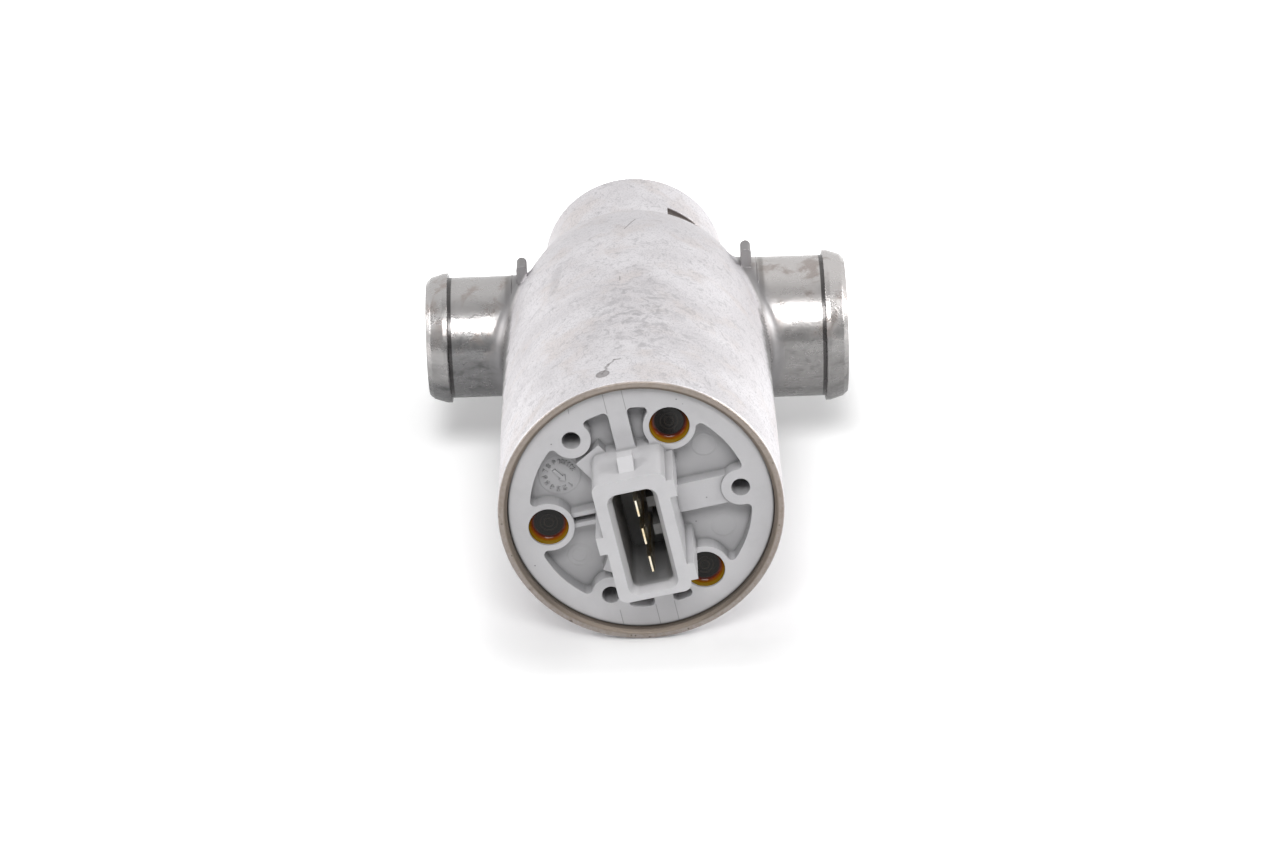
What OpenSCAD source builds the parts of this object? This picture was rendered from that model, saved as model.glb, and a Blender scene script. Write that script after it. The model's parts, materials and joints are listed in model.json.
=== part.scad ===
// Rotary idle air control valve with two opposed hose stubs and a three-pin plug.
// The body axis lies along Y: the plug faces -Y, the hose stubs lie along X and Z is up.
// Each module is drawn with its z axis along the body axis, z = 0 on the rim's face and
// the parts behind it at negative z. The lay() module then sets it into the valve's frame,
// whose origin is on the axis at the middle of the seat for the mounting clamp.

/* [Body] */
// Radius of the cast body
body_r = 23; // [22:0.1:25]
// Depth by which the body narrows towards the step
narrowing_depth = 2.4; // [1.5:0.1:3]
// Length of body ahead of the step that narrows
narrowing_l = 20; // [12:0.5:22]
// Wall of the rear barrel round the slide chamber
rear_wall = 2.2; // [2:0.1:3]
// Length of the body behind the bearing carrier
tail_l = 14.5; // [14:0.5:20]
// Distance from the rim to the middle of the clamp seat
clamp_at = 30; // [24:0.5:36]
// Width of the rim's flat face
rim_w = 1.05; // [0.7:0.05:1.3]
// Wall of the body round the motor
motor_wall = 3; // [2.5:0.1:3.4]

/* [Hose stubs] */
// Distance from the axis of the stubs back to the step
step_behind = 6.7; // [4:0.1:8]
// Radius of the small stub's tube
small_r = 10.6; // [10:0.1:11]
// Radius of the large stub's tube
large_r = 12.4; // [11.8:0.1:13]
// Reach of the small stub from the body axis
small_reach = 36.5; // [34:0.5:42]
// Reach of the large stub from the body axis
large_reach = 36.8; // [34:0.5:42]
// Wall of both stubs
stub_wall = 1.7; // [1.4:0.1:2]
// Growth of the stubs' radius towards the body, for drawing the casting from its mould
stub_draft = 0.25; // [0.1:0.05:0.4]
// Radius of the fillet at the root of both stubs
fillet_r = 2.6; // [2:0.1:3]
// Height of the bead over the tube
bead_h = 0.8; // [0.5:0.05:1.2]
// Length of the bead with its lead-in
bead_l = 3.8; // [3:0.1:5]
// Height of the cast lug over each stub's root
lug_h = 3.4; // [2.5:0.1:4]
// Thickness of the cast lug
lug_t = 1.8; // [1.4:0.1:2.4]

/* [End cover] */
// Gap between the cover and the body's bore
cover_gap = 0.15; // [0.1:0.05:0.3]
// Depth of the cover's face under the rim
face_drop = 1.5; // [1:0.1:2]
// Thickness of the cover's flange
flange_t = 5; // [4.5:0.1:6]
// Width of the flat ring round the pockets
ring_w = 3.5; // [3:0.1:4]
// Depth of the pockets
pocket_depth = 3; // [2:0.1:3.4]
// Rounding of the pockets' corners
pocket_corner = 0.8; // [0.5:0.1:1.4]
// Turn of the cover about the body axis, in degrees
cover_turn = 11; // [0:1:20]
// Distance of the wells' walls inside the cover's spigot
well_inset = 0.5; // [0.4:0.1:0.8]
// Radius of a screw well
well_r = 3.25; // [3:0.05:3.4]
// Wall round a screw well
well_wall = 0.95; // [0.8:0.05:1.1]
// Distance of the small holes' middles inside the flat ring
peg_inset = 1.45; // [1.2:0.05:1.8]
// Radius of a small hole
peg_hole_r = 1.5; // [1.2:0.05:1.8]
// Wall round a small hole
peg_wall = 1.65; // [1.3:0.05:1.8]
// Width of the bridges above and below the plug
bridge_w = 3.05; // [2.5:0.05:3.5]
// Width of the low ribs between the plug and the small holes
rib_w = 4.9; // [4:0.1:5.4]
// Depth of the low ribs' tops under the cover's face
rib_drop = 0.5; // [0.3:0.1:1]

/* [Plug shroud] */
// Width of the shroud
shroud_w = 11.85; // [11.4:0.05:12.4]
// Height of the shroud
shroud_h = 21.35; // [20.8:0.05:21.8]
// Reach of the shroud's mouth ahead of the cover's face
shroud_reach = 10.9; // [9:0.1:13]
// Rounding of the shroud's corners
shroud_corner = 1.4; // [1:0.1:1.6]
// Width of the socket inside
socket_w = 6.6; // [6.2:0.1:7]
// Height of the socket inside
socket_h = 16.6; // [16:0.1:17]
// Distance of the socket's middle below the shroud's middle
socket_low = 0.7; // [0:0.1:0.8]
// Width of the lead-in round the socket's mouth
lead_in = 0.75; // [0.5:0.05:0.9]
// Depth of the socket's floor behind the cover's face
socket_floor = 5.4; // [5:0.1:5.8]
// Height of the guide ribs beside the shroud
guide_h = 1.2; // [0.8:0.1:1.4]
// Width of a guide rib
guide_w = 3; // [2.5:0.1:3.4]

/* [Terminals] */
// Pitch of the three blades
blade_pitch = 5; // [4.8:0.1:5.2]
// Width of a blade
blade_w = 2.8; // [2.4:0.1:3]
// Thickness of a blade
blade_t = 0.8; // [0.6:0.05:0.9]
// Depth of the blade tips behind the shroud's mouth
blade_drop = 0.6; // [0:0.1:4]
// Sideways offset of the blades from the shroud's middle
blade_offset = 0.4; // [0:0.1:0.6]

/* [Motor] */
// Radius of the shaft
shaft_r = 2.5; // [2.3:0.05:2.7]
// Thickness of the magnets, as a share of the motor bore's radius
magnet_share = 0.29; // [0.26:0.01:0.31]
// Length of the armature core
core_l = 22; // [18:0.5:23]
// Gap between the armature and the magnets
air_gap = 0.8; // [0.6:0.05:1.2]
// Wall of the pole tube
tube_wall = 1.8; // [1.4:0.1:2.2]
// Overhang of the magnets at each end of the core
magnet_over = 2; // [1:0.5:2.5]
// Angle that each magnet spans
magnet_angle = 130; // [110:2:150]
// Radius of the commutator
commutator_r = 5; // [4.7:0.1:5.3]
// Length of the commutator's bars
bar_l = 7; // [6:0.1:7.4]
// Radius of a coil's side, as a share of the core's radius
coil_share = 0.184; // [0.15:0.001:0.2]
// Thickness of the core's teeth over the coils
tooth_t = 1.7; // [1.4:0.1:2]
// Gap between the commutator and the front bearing
bar_gap = 0.3; // [0.2:0.1:0.6]

/* [Slide valve] */
// Radius of the slide chamber
chamber_r = 14; // [13.8:0.05:14.1]
// Length of the slide chamber
chamber_l = 19; // [18.6:0.1:19.4]
// Thickness of the bulkhead between motor and slide chamber
bulkhead_t = 4.3; // [4:0.1:5]
// Gap between the rotary slide and the chamber
slide_gap = 0.2; // [0.1:0.05:0.3]
// Wall of the rotary slide's segment
slide_wall = 1.6; // [1.2:0.1:2]
// Angle that the segment spans
slide_angle = 86; // [84:1:88]
// Travel of the slide from closed to open, in degrees
travel = 90; // [70:5:90]
// Radius of the stop pin
stop_pin_r = 1; // [0.8:0.05:1.2]

/* [Bearings] */
// Outer radius of both ball bearings
bearing_r = 6.5; // [6.3:0.1:6.8]
// Width of both ball bearings
bearing_w = 4; // [3.6:0.1:4.4]
// Length of the carrier that holds the rear bearing
carrier_l = 9; // [8.5:0.5:12]
// Radius of a ball
ball_r = 1; // [0.9:0.05:1.05]
// Number of balls in a bearing
ball_count = 7; // [6:1:8]

/* [Fasteners and fits] */
// Radius of a cover screw's thread
screw_r = 1.7; // [1.5:0.05:1.8]
// Radius of a cover screw's head
screw_head_r = 2.9; // [2.6:0.05:2.95]
// Height of a cover screw's head
screw_head_h = 1.9; // [1.5:0.1:2.2]
// Depth of the sealing resin's face inside the wells
resin_drop = 2.7; // [2:0.1:3.2]
// Thickness of the rear end cap
cap_t = 4; // [3.6:0.1:4.4]
// Thickness of the ring that holds the end cap
cap_ring_t = 1.2; // [1:0.1:1.5]
// Radial clearance of pieces that are pressed or glued in
seat_gap = 0.03; // [0.02:0.01:0.05]
// Clearance of pieces that slide in or lie loose
slip_gap = 0.1; // [0.06:0.01:0.15]

/* [Hidden] */
$fn = 96;
eps = 0.01;

// Planes along the axis, from the rim to the rear end
face_z = -face_drop;
floor_z = face_z - pocket_depth;
flange_z = face_z - flange_t;
socket_z = face_z - socket_floor;
hub_z = socket_z - 2;
mouth_z = face_z + shroud_reach;
spigot_z = flange_z - 5;
well_z = spigot_z + 2.4;
washer_t = 0.4;
front_bearing_z = hub_z - washer_t;
holder_z = spigot_z;
brush_w = 3.6;
brush_h = 4;
brush_floor_t = 2.2;
brush_z = front_bearing_z - bearing_w - bar_gap - bar_l / 2;
flange_plate_z = brush_z - brush_h / 2 - brush_floor_t;
tube_flange_t = 2;

// Radii of the bores
rim_chamfer = 0.5;
cover_bore_r = body_r - rim_w - rim_chamfer;
cover_r = cover_bore_r - cover_gap;
pocket_r = cover_r - ring_w;
peg_ring_r = pocket_r - peg_inset;
motor_bore_r = body_r - motor_wall;
spigot_r = motor_bore_r - slip_gap;
screw_ring_r = spigot_r - well_inset - well_wall - well_r;
step_r = body_r - narrowing_depth;
rear_r = chamber_r + rear_wall;
carrier_bore_r = chamber_r + 0.25;
cap_bore_r = chamber_r + 0.6;
shaft_hole_r = shaft_r + 0.5;
seal_bore_r = shaft_r + 2.5;
tube_r = motor_bore_r - seat_gap;
magnet_out_r = tube_r - tube_wall - seat_gap;
magnet_in_r = magnet_out_r - magnet_share * motor_bore_r;
core_r = magnet_in_r - air_gap;
slide_r = chamber_r - slide_gap;
hub_r = shaft_r + 2;
stop_ring_r = 8;
screw_angles = [60, 180, 300];
brush_angles = [0, 120, 240];

// Coils, and the planes behind them that they set
coil_r = coil_share * core_r;
coil_ring_r = core_r - tooth_t - coil_r;
end_turn_r = coil_r + 0.2;
overhang = end_turn_r + 0.2;
end_turn_room = overhang + end_turn_r + 1;
magnet_l = core_l + 2 * magnet_over;
core_z = flange_plate_z - tube_flange_t - end_turn_room;
motor_end_z = core_z - core_l - end_turn_room - 1;
chamber_z = motor_end_z - bulkhead_t;
stub_at = chamber_l / 2 - chamber_z;
step_at = stub_at + step_behind;
carrier_z = chamber_z - chamber_l;
rear_bearing_z = carrier_z - 3.2;
body_l = carrier_l - carrier_z + tail_l;
cap_room = 7.3;
cap_z = cap_room - body_l;

// Brushes and their boxes
brush_in_r = commutator_r + 0.05;
brush_out_r = brush_in_r + 3.4;
tab_r = 11.2;
box_wall = 1.3;

// Sealing rings
cover_seal_t = 1.6;
cap_seal_t = 1.5;
seal_room = 0.5;
cover_seal_l = cover_seal_t + seal_room;
cover_seal_z = flange_z - 1.1 - cover_seal_l / 2;
cap_seal_l = cap_seal_t + seal_room;
cap_seal_z = cap_z - cap_t + 1.2 + cap_seal_l / 2;

// Sets a piece drawn along z into the valve's frame
module lay() {
    translate([0, -clamp_at, 0]) rotate([90, 0, 0]) children();
}

// Sets a piece of the cover in line with the turned cover
module turn() {
    rotate([0, 0, cover_turn]) children();
}

module tube(outer, inner, height) {
    difference() {
        cylinder(r = outer, h = height);
        translate([0, 0, -eps]) cylinder(r = inner, h = height + 2 * eps);
    }
}

module round_rect(w, h, r) {
    square([w - 2 * r, h], center = true);
    square([w, h - 2 * r], center = true);
    for (sx = [-1, 1], sy = [-1, 1])
        translate([sx * (w / 2 - r), sy * (h / 2 - r)]) circle(r = r, $fn = 32);
}

// A sector of a ring, centred on the given direction
module arc_bar(inner, outer, height, angle, direction) {
    rotate([0, 0, direction - angle / 2]) rotate_extrude(angle = angle)
        translate([inner, 0]) square([outer - inner, height]);
}

// Housing: one casting with the motor barrel, the stubs and the rear barrel
narrow_steps = 6;
edge_r = 0.8;
narrow_start_z = -step_at + edge_r + narrowing_l;

function narrowing(t) = [body_r - (body_r - step_r) * t * t, narrow_start_z - narrowing_l * t];

module body_outline() {
    polygon(concat(
        [[0, 0], [body_r - 0.3, 0], [body_r, -0.3]],
        [for (i = [0:narrow_steps]) narrowing(i / narrow_steps)],
        [[step_r - edge_r, -step_at], [rear_r + edge_r, -step_at], [rear_r, -step_at - edge_r],
         [rear_r, -body_l + 1], [rear_r - 1, -body_l], [0, -body_l]]));
}

// Solid stub, drawn along z from the body axis
module stub(r, reach) {
    crest_l = 0.8;
    rotate_extrude() polygon([
        [0, 0], [r + stub_draft, 0], [r, body_r + fillet_r], [r, reach - bead_l],
        [r + bead_h, reach - bead_l], [r + bead_h, reach - bead_l + crest_l],
        [r + 0.1, reach - 0.8], [r - 0.6, reach], [0, reach]]);
}

// Radius of the body, and half of its width at a height, in a plane along its axis
function skin_r(z) = z < -step_at ? rear_r
    : body_r - narrowing_depth * pow(max(0, (narrow_start_z - z) / narrowing_l), 2);
function half_width(z, y) = let (r = skin_r(z)) abs(y) < r ? sqrt(r * r - y * y) : 0;

// Fillet at a stub's root: in each plane through the stub's axis, the arc of a ball that rolls
// round the root in touch with the tube and the body
fillet_turns = 48;
fillet_steps = 3;
fillet_sink = 0.5;

function tube_side(rho, a) = half_width(-stub_at + rho * cos(a), rho * sin(a));

function fillet_section(r, a) = let (
    middle = r + fillet_r,
    rhos = [for (s = [0:40]) r + 2 * fillet_r * s / 40],
    reaches = [for (rho = rhos)
        tube_side(rho, a) + sqrt(max(0, fillet_r * fillet_r - pow(rho - middle, 2)))],
    out = max(reaches),
    touch = rhos[search(out, reaches)[0]],
    start = -78,
    end = max(start + 6, asin((touch - middle) / fillet_r) - 12),
    low = tube_side(touch, a) - fillet_sink
) concat(
    [[r - fillet_sink, out]],
    [for (s = [0:fillet_steps]) let (t = start + (end - start) * s / fillet_steps)
        [middle + fillet_r * sin(t), out - fillet_r * cos(t)]],
    [[touch, low], [r - fillet_sink, low - 1]]);

module root_fillet(r) {
    n = fillet_steps + 4;
    m = fillet_turns;
    polyhedron(
        points = [for (k = [0:m - 1], q = fillet_section(r, 360 * k / m))
            [-q[0] * cos(360 * k / m), q[0] * sin(360 * k / m), q[1]]],
        faces = [for (k = [0:m - 1], j = [0:n - 1], half = [0, 1]) let (
            a = k * n + j, b = k * n + (j + 1) % n,
            c = (k + 1) % m * n + (j + 1) % n, d = (k + 1) % m * n + j
        ) half == 0 ? [a, c, b] : [a, d, c]],
        convexity = 8);
}

// Recess in the rear barrel: a flat floor that runs out to one side, and a steep wall
recess_l = 9.5;
recess_depth = 0.9;
recess_from = 67;
recess_to = 43;

module barrel_recess() {
    floor_at = [[rear_r - recess_depth, recess_from], [rear_r, recess_to],
        [rear_r + 1, recess_to - 3], [rear_r + 1, recess_from]];
    translate([0, 0, -step_at - 4.7 - recess_l]) linear_extrude(recess_l)
        polygon([for (p = floor_at) p[0] * [cos(p[1]), sin(p[1])]]);
}

// Small lug over a stub's root, with a round top
lug_at = 18.7;
lug_w = 4;

module root_lug(r) {
    round_at = r + lug_h - lug_t / 2;
    translate([lug_at, -lug_w / 2, 0]) {
        translate([0, 0, r - 3]) cube([lug_t, lug_w, round_at - r + 3]);
        translate([lug_t / 2, 0, round_at]) rotate([-90, 0, 0])
            cylinder(r = lug_t / 2, h = lug_w, $fn = 32);
    }
}

module stub_bore(r, reach) {
    cylinder(r = r - stub_wall, h = reach + eps);
}

duct_r = chamber_l / 2 - 0.5;

module housing() {
    color([0.80, 0.79, 0.80]) lay() difference() {
        union() {
            rotate_extrude() body_outline();
            translate([0, 0, -stub_at]) {
                rotate([0, -90, 0]) {
                    stub(small_r, small_reach);
                    mirror([1, 0, 0]) root_fillet(small_r);
                }
                rotate([0, 90, 0]) {
                    stub(large_r, large_reach);
                    root_fillet(large_r);
                }
                rotate([-90, 0, 0]) {
                    root_lug(large_r);
                    mirror([1, 0, 0]) root_lug(small_r);
                }
            }
        }
        translate([0, 0, flange_z]) cylinder(r = cover_bore_r, h = -flange_z + eps);
        translate([0, 0, -rim_chamfer])
            cylinder(r1 = cover_bore_r, r2 = cover_bore_r + rim_chamfer + eps, h = rim_chamfer + eps);
        translate([0, 0, motor_end_z]) cylinder(r = motor_bore_r, h = -motor_end_z - face_drop);
        translate([0, 0, carrier_z - eps]) cylinder(r = chamber_r, h = chamber_l + eps);
        translate([0, 0, -body_l]) cylinder(r = carrier_bore_r, h = body_l + carrier_z);
        translate([0, 0, -body_l - eps]) cylinder(r = cap_bore_r, h = cap_z + body_l + eps);
        translate([0, 0, cap_z - cap_t - cap_ring_t - slip_gap])
            cylinder(r = cap_bore_r + 0.7, h = cap_ring_t + slip_gap);
        translate([0, 0, chamber_z - eps]) cylinder(r = shaft_hole_r, h = bulkhead_t + 2 * eps);
        translate([0, 0, chamber_z + 0.6]) cylinder(r = seal_bore_r, h = bulkhead_t);
        translate([0, 0, -stub_at]) {
            rotate([0, -90, 0]) cylinder(r = min(duct_r, small_r - stub_wall), h = small_reach);
            rotate([0, -90, 0]) translate([0, 0, chamber_r + 3])
                stub_bore(small_r, small_reach - chamber_r - 3);
            rotate([0, 90, 0]) cylinder(r = duct_r, h = large_reach);
            rotate([0, 90, 0]) translate([0, 0, chamber_r + 3])
                stub_bore(large_r, large_reach - chamber_r - 3);
        }
        stop_pin_hole();
        barrel_recess();
    }
}

// End cover: one moulding with its flange, pockets, ribs and the plug shroud
pocket_lap = 0.3;
rib_lap = 0.2;
rib_sink = 0.5;
peg_depth = 2.6;

module well_places() {
    for (a = screw_angles) rotate([0, 0, a]) translate([screw_ring_r, 0, 0]) children();
}

module peg_places() {
    for (a = brush_angles) rotate([0, 0, a]) translate([peg_ring_r, 0, 0]) children();
}

// The pockets run a little way in under the shroud, whose sides then close them
module pocket_outline() {
    offset(r = pocket_corner, $fn = 24) offset(delta = -pocket_corner) difference() {
        circle(r = pocket_r, $fn = 72);
        round_rect(shroud_w - 2 * pocket_lap, shroud_h - 2 * pocket_lap, shroud_corner - pocket_lap);
        square([bridge_w, 2 * pocket_r], center = true);
        well_places() circle(r = well_r + well_wall, $fn = 40);
        peg_places() circle(r = peg_hole_r + peg_wall, $fn = 40);
    }
}

// Low ribs that stand in the pockets; the wide one ends in a small hole's boss, short of the hole
module low_ribs() {
    rib_h = pocket_depth - rib_drop + rib_sink;
    stub_end = peg_ring_r - peg_hole_r - peg_wall - 0.55;
    translate([0, 0, floor_z - rib_sink]) {
        translate([0, -rib_w / 2, 0]) cube([peg_ring_r - peg_hole_r - rib_lap, rib_w, rib_h]);
        for (a = [120, 240]) rotate([0, 0, a])
            translate([0, -rib_w / 2, 0]) cube([stub_end, rib_w, rib_h]);
        for (s = [-1, 1]) translate([-screw_ring_r + well_r + 0.3, s * 0.93 - 0.38, 0])
            cube([screw_ring_r - well_r - 4, 0.76, rib_h]);
    }
}

// Latch nose on the shroud's upper side
module latch_nose() {
    nose_h = 1.65;
    top = shroud_h / 2;
    rotate([90, 0, 90]) translate([0, 0, -1.25]) linear_extrude(2.5)
        polygon([[top - 0.5, mouth_z - 2.6], [top, mouth_z - 2.6], [top + nose_h, mouth_z - 4.9],
            [top + nose_h, mouth_z - 6.8], [top - 0.5, mouth_z - 6.8]]);
}

// Ribs along the shroud that guide the mating plug
module guide_ribs() {
    rib_l = mouth_z - floor_z;
    side = shroud_w / 2;
    translate([side - 0.5, 7.5 - guide_w / 2, floor_z]) cube([guide_h + 0.5, guide_w, rib_l]);
    translate([side - 0.5, -7.5 - guide_w / 2, floor_z]) cube([guide_h + 0.5, guide_w, rib_l]);
    translate([-side - guide_h, -guide_w / 2, floor_z]) cube([guide_h + 0.5, guide_w, rib_l]);
}

module socket() {
    depth = mouth_z - socket_z;
    translate([0, -socket_low, socket_z]) {
        linear_extrude(depth + eps) round_rect(socket_w, socket_h, 1.1);
        hull() {
            translate([0, 0, depth]) linear_extrude(eps)
                round_rect(socket_w + 2 * lead_in, socket_h + 2 * lead_in, 1.7);
            translate([0, 0, depth - 1.6]) linear_extrude(eps) round_rect(socket_w, socket_h, 1.1);
        }
    }
}

// Short walls between the blades, on one side of the socket
module blade_walls() {
    wall_w = blade_pitch - blade_w - 0.4;
    wall_h = 0.55 * (mouth_z - socket_z);
    for (s = [-1, 1]) translate([1.5, (s * blade_pitch - wall_w) / 2, socket_z - eps])
        cube([socket_w / 2 - 1, wall_w, wall_h]);
}

module terminal_shape(i, gap) {
    v = blade_pitch * (1 - i);
    a = [120, 0, 240][i];
    root = [blade_offset, v];
    tab = [tab_r * cos(a), tab_r * sin(a)];
    run = tab - root;
    strip_l = norm(run);
    strip_z = socket_z - 0.9;
    w = blade_w + 2 * gap;
    t = blade_t + 2 * gap;
    top_z = mouth_z - blade_drop;
    translate([root[0] - t / 2, root[1] - w / 2, strip_z - t / 2]) cube([t, w, top_z - strip_z - 1]);
    translate([root[0], root[1], top_z - 1.4 - eps]) rotate([90, 0, 0]) translate([0, 0, -w / 2])
        linear_extrude(w) polygon([[-t / 2, 0], [t / 2, 0], [0.14, 1.4], [-0.14, 1.4]]);
    translate([root[0], root[1], strip_z]) rotate([0, 0, atan2(run[1], run[0])])
        translate([-t / 2, -w / 2, -t / 2]) cube([strip_l + t / 2, w, t]);
    rotate([0, 0, a]) translate([tab_r, -w / 2, brush_z - 1.6 - gap])
        cube([blade_t, w, strip_z + t / 2 - brush_z + 1.6 + gap]);
}

module end_cover() {
    color([0.76, 0.765, 0.772]) lay() turn() difference() {
        union() {
            difference() {
                translate([0, 0, flange_z]) cylinder(r = cover_r, h = flange_t);
                translate([0, 0, floor_z]) linear_extrude(pocket_depth + eps) pocket_outline();
            }
            low_ribs();
            translate([0, 0, hub_z]) linear_extrude(mouth_z - hub_z)
                round_rect(shroud_w, shroud_h, shroud_corner);
            latch_nose();
            guide_ribs();
            translate([0, 0, spigot_z]) tube(spigot_r, spigot_r - 2.5, flange_z - spigot_z + eps);
            translate([0, 0, spigot_z]) well_places()
                cylinder(r = well_r + well_wall, h = flange_z - spigot_z + eps);
            translate([0, 0, flange_z - 1.5]) peg_places()
                cylinder(r = peg_hole_r + 1, h = 1.5 + eps);
            translate([0, 0, front_bearing_z - bearing_w])
                tube(bearing_r + 2, bearing_r + seat_gap, hub_z - front_bearing_z + bearing_w + eps);
        }
        difference() {
            socket();
            blade_walls();
        }
        translate([0, 0, well_z]) well_places() cylinder(r = well_r, h = face_z - well_z + eps);
        translate([0, 0, spigot_z - eps]) well_places()
            cylinder(r = screw_r + slip_gap, h = well_z - spigot_z + 2 * eps);
        translate([0, 0, floor_z - peg_depth]) peg_places()
            cylinder(r = peg_hole_r, h = face_z - floor_z + peg_depth + eps);
        translate([0, 0, cover_seal_z - cover_seal_l / 2]) difference() {
            cylinder(r = spigot_r + 1, h = cover_seal_l);
            translate([0, 0, -eps]) cylinder(r = seal_groove_r, h = cover_seal_l + 2 * eps);
        }
        for (i = [0:2]) terminal_shape(i, 0.02);
    }
}

seal_groove_r = motor_bore_r - cover_seal_t - 0.05;

module cover_seal() {
    color([0.10, 0.10, 0.10]) lay() translate([0, 0, cover_seal_z]) rotate_extrude()
        translate([motor_bore_r - 0.02 - cover_seal_t / 2, 0]) circle(r = cover_seal_t / 2, $fn = 24);
}

// Three cover screws with a cross of drive slots
module cover_screws() {
    shank_l = well_z - flange_plate_z + tube_flange_t + 1.6;
    color([0.30, 0.27, 0.24]) lay() turn() translate([0, 0, well_z]) well_places() difference() {
        union() {
            cylinder(r = screw_head_r, h = screw_head_h - 0.4);
            translate([0, 0, screw_head_h - 0.4])
                cylinder(r1 = screw_head_r, r2 = screw_head_r - 0.4, h = 0.4);
            translate([0, 0, -shank_l]) cylinder(r = screw_r, h = shank_l + eps);
        }
        for (a = [0, 90]) rotate([0, 0, a]) translate([-1.7, -0.35, screw_head_h - 1])
            cube([3.4, 0.7, 2]);
    }
}

module screw_sealant() {
    resin_z = face_z - resin_drop;
    head_top = well_z + screw_head_h;
    color([0.42, 0.26, 0.05]) lay() turn() translate([0, 0, head_top]) well_places()
        difference() {
            cylinder(r = well_r - 0.02, h = resin_z - head_top);
            translate([0, 0, resin_z - head_top + 5.2]) sphere(r = 5.5);
        }
}

module terminal(i) {
    color([0.80, 0.65, 0.35]) lay() turn() terminal_shape(i, 0);
}

// Brush holder: a plate with three boxes and three sleeves for the cover screws
module brush_holder() {
    plate_t = 1.6;
    box_w = brush_w + 2 * box_wall;
    box_h = brush_z + brush_h / 2 + box_wall - flange_plate_z;
    color([0.20, 0.20, 0.22]) lay() turn() difference() {
        union() {
            translate([0, 0, flange_plate_z]) cylinder(r = spigot_r - 0.4, h = plate_t);
            translate([0, 0, flange_plate_z]) well_places()
                cylinder(r = well_r + 0.4, h = holder_z - flange_plate_z);
            for (a = brush_angles) rotate([0, 0, a])
                translate([commutator_r + 1.2, -box_w / 2, flange_plate_z])
                    cube([tab_r + blade_t + box_wall - commutator_r - 1.2, box_w, box_h]);
        }
        translate([0, 0, flange_plate_z - eps]) {
            cylinder(r = commutator_r + 1.3, h = holder_z - flange_plate_z + 1);
            well_places() cylinder(r = screw_r + slip_gap, h = holder_z - flange_plate_z + 1);
        }
        for (a = brush_angles) rotate([0, 0, a]) {
            translate([0, -brush_w / 2 - 0.05, brush_z - brush_h / 2 - 0.05])
                cube([tab_r, brush_w + 0.1, brush_h + 0.1]);
            translate([tab_r - 0.05, -blade_w / 2 - 0.05, brush_z - 1.7])
                cube([blade_t + 0.1, blade_w + 0.1, holder_z - brush_z]);
        }
    }
}

module brush(i) {
    color([0.16, 0.16, 0.17]) lay() turn() rotate([0, 0, brush_angles[i]]) difference() {
        translate([brush_in_r - 1, -brush_w / 2, brush_z - brush_h / 2])
            cube([brush_out_r - brush_in_r + 1, brush_w, brush_h]);
        translate([0, 0, brush_z - brush_h]) cylinder(r = brush_in_r, h = 2 * brush_h);
    }
}

// Compression spring as a tube swept along a helix
spring_wire_r = 0.18;
spring_r = 1.2;
spring_turns = 3.5;
spring_ring_points = 6;
spring_steps = 42;

function spring_point(t, a, l) = let (
    turn_at = 360 * spring_turns * t,
    reach = spring_r + spring_wire_r * cos(a)
) [reach * cos(turn_at), reach * sin(turn_at), spring_wire_r * (1 + sin(a)) + (l - 2 * spring_wire_r) * t];

module spring(l) {
    n = spring_ring_points;
    m = spring_steps;
    polyhedron(
        points = [for (i = [0:m], j = [0:n - 1]) spring_point(i / m, 360 * j / n, l)],
        faces = concat(
            [[for (j = [0:n - 1]) j]],
            [for (i = [0:m - 1], j = [0:n - 1])
                [i * n + j, (i + 1) * n + j, (i + 1) * n + (j + 1) % n, i * n + (j + 1) % n]],
            [[for (j = [0:n - 1]) m * n + n - 1 - j]]),
        convexity = 6);
}

module brush_springs() {
    color([0.72, 0.72, 0.74]) lay() turn() for (a = brush_angles) rotate([0, 0, a])
        translate([brush_out_r + 0.05, 0, brush_z]) rotate([0, 90, 0])
            spring(tab_r - brush_out_r - 0.1);
}

// Pole tube: a drawn steel sleeve whose front flange takes the cover screws
module pole_tube() {
    color([0.55, 0.55, 0.56]) lay() difference() {
        translate([0, 0, motor_end_z]) cylinder(r = tube_r, h = flange_plate_z - motor_end_z);
        translate([0, 0, motor_end_z - eps])
            cylinder(r = tube_r - tube_wall, h = flange_plate_z - motor_end_z - tube_flange_t);
        translate([0, 0, motor_end_z]) cylinder(r = core_r + 0.5, h = flange_plate_z - motor_end_z + eps);
        translate([0, 0, flange_plate_z - tube_flange_t - 1]) turn() well_places()
            cylinder(r = screw_r + 0.04, h = tube_flange_t + 2);
    }
}

module magnet(direction) {
    color([0.24, 0.24, 0.26]) lay()
        translate([0, 0, core_z - core_l / 2 - magnet_l / 2])
            arc_bar(magnet_in_r, magnet_out_r, magnet_l, magnet_angle, direction);
}

// Shaft with a groove for its clip
clip_z = rear_bearing_z - bearing_w - 0.1;
clip_t = 0.7;

module shaft() {
    front_z = hub_z - washer_t - 0.3;
    rear_z = clip_z - clip_t - 1.8;
    color([0.78, 0.78, 0.80]) lay() difference() {
        rotate_extrude() polygon([[0, front_z], [shaft_r - 0.3, front_z], [shaft_r, front_z - 0.3],
            [shaft_r, rear_z + 0.3], [shaft_r - 0.3, rear_z], [0, rear_z]]);
        translate([0, 0, clip_z - clip_t]) tube(shaft_r + 1, shaft_r - 0.5, clip_t);
    }
}

coil_angles = [45, 135, 225, 315];

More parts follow.
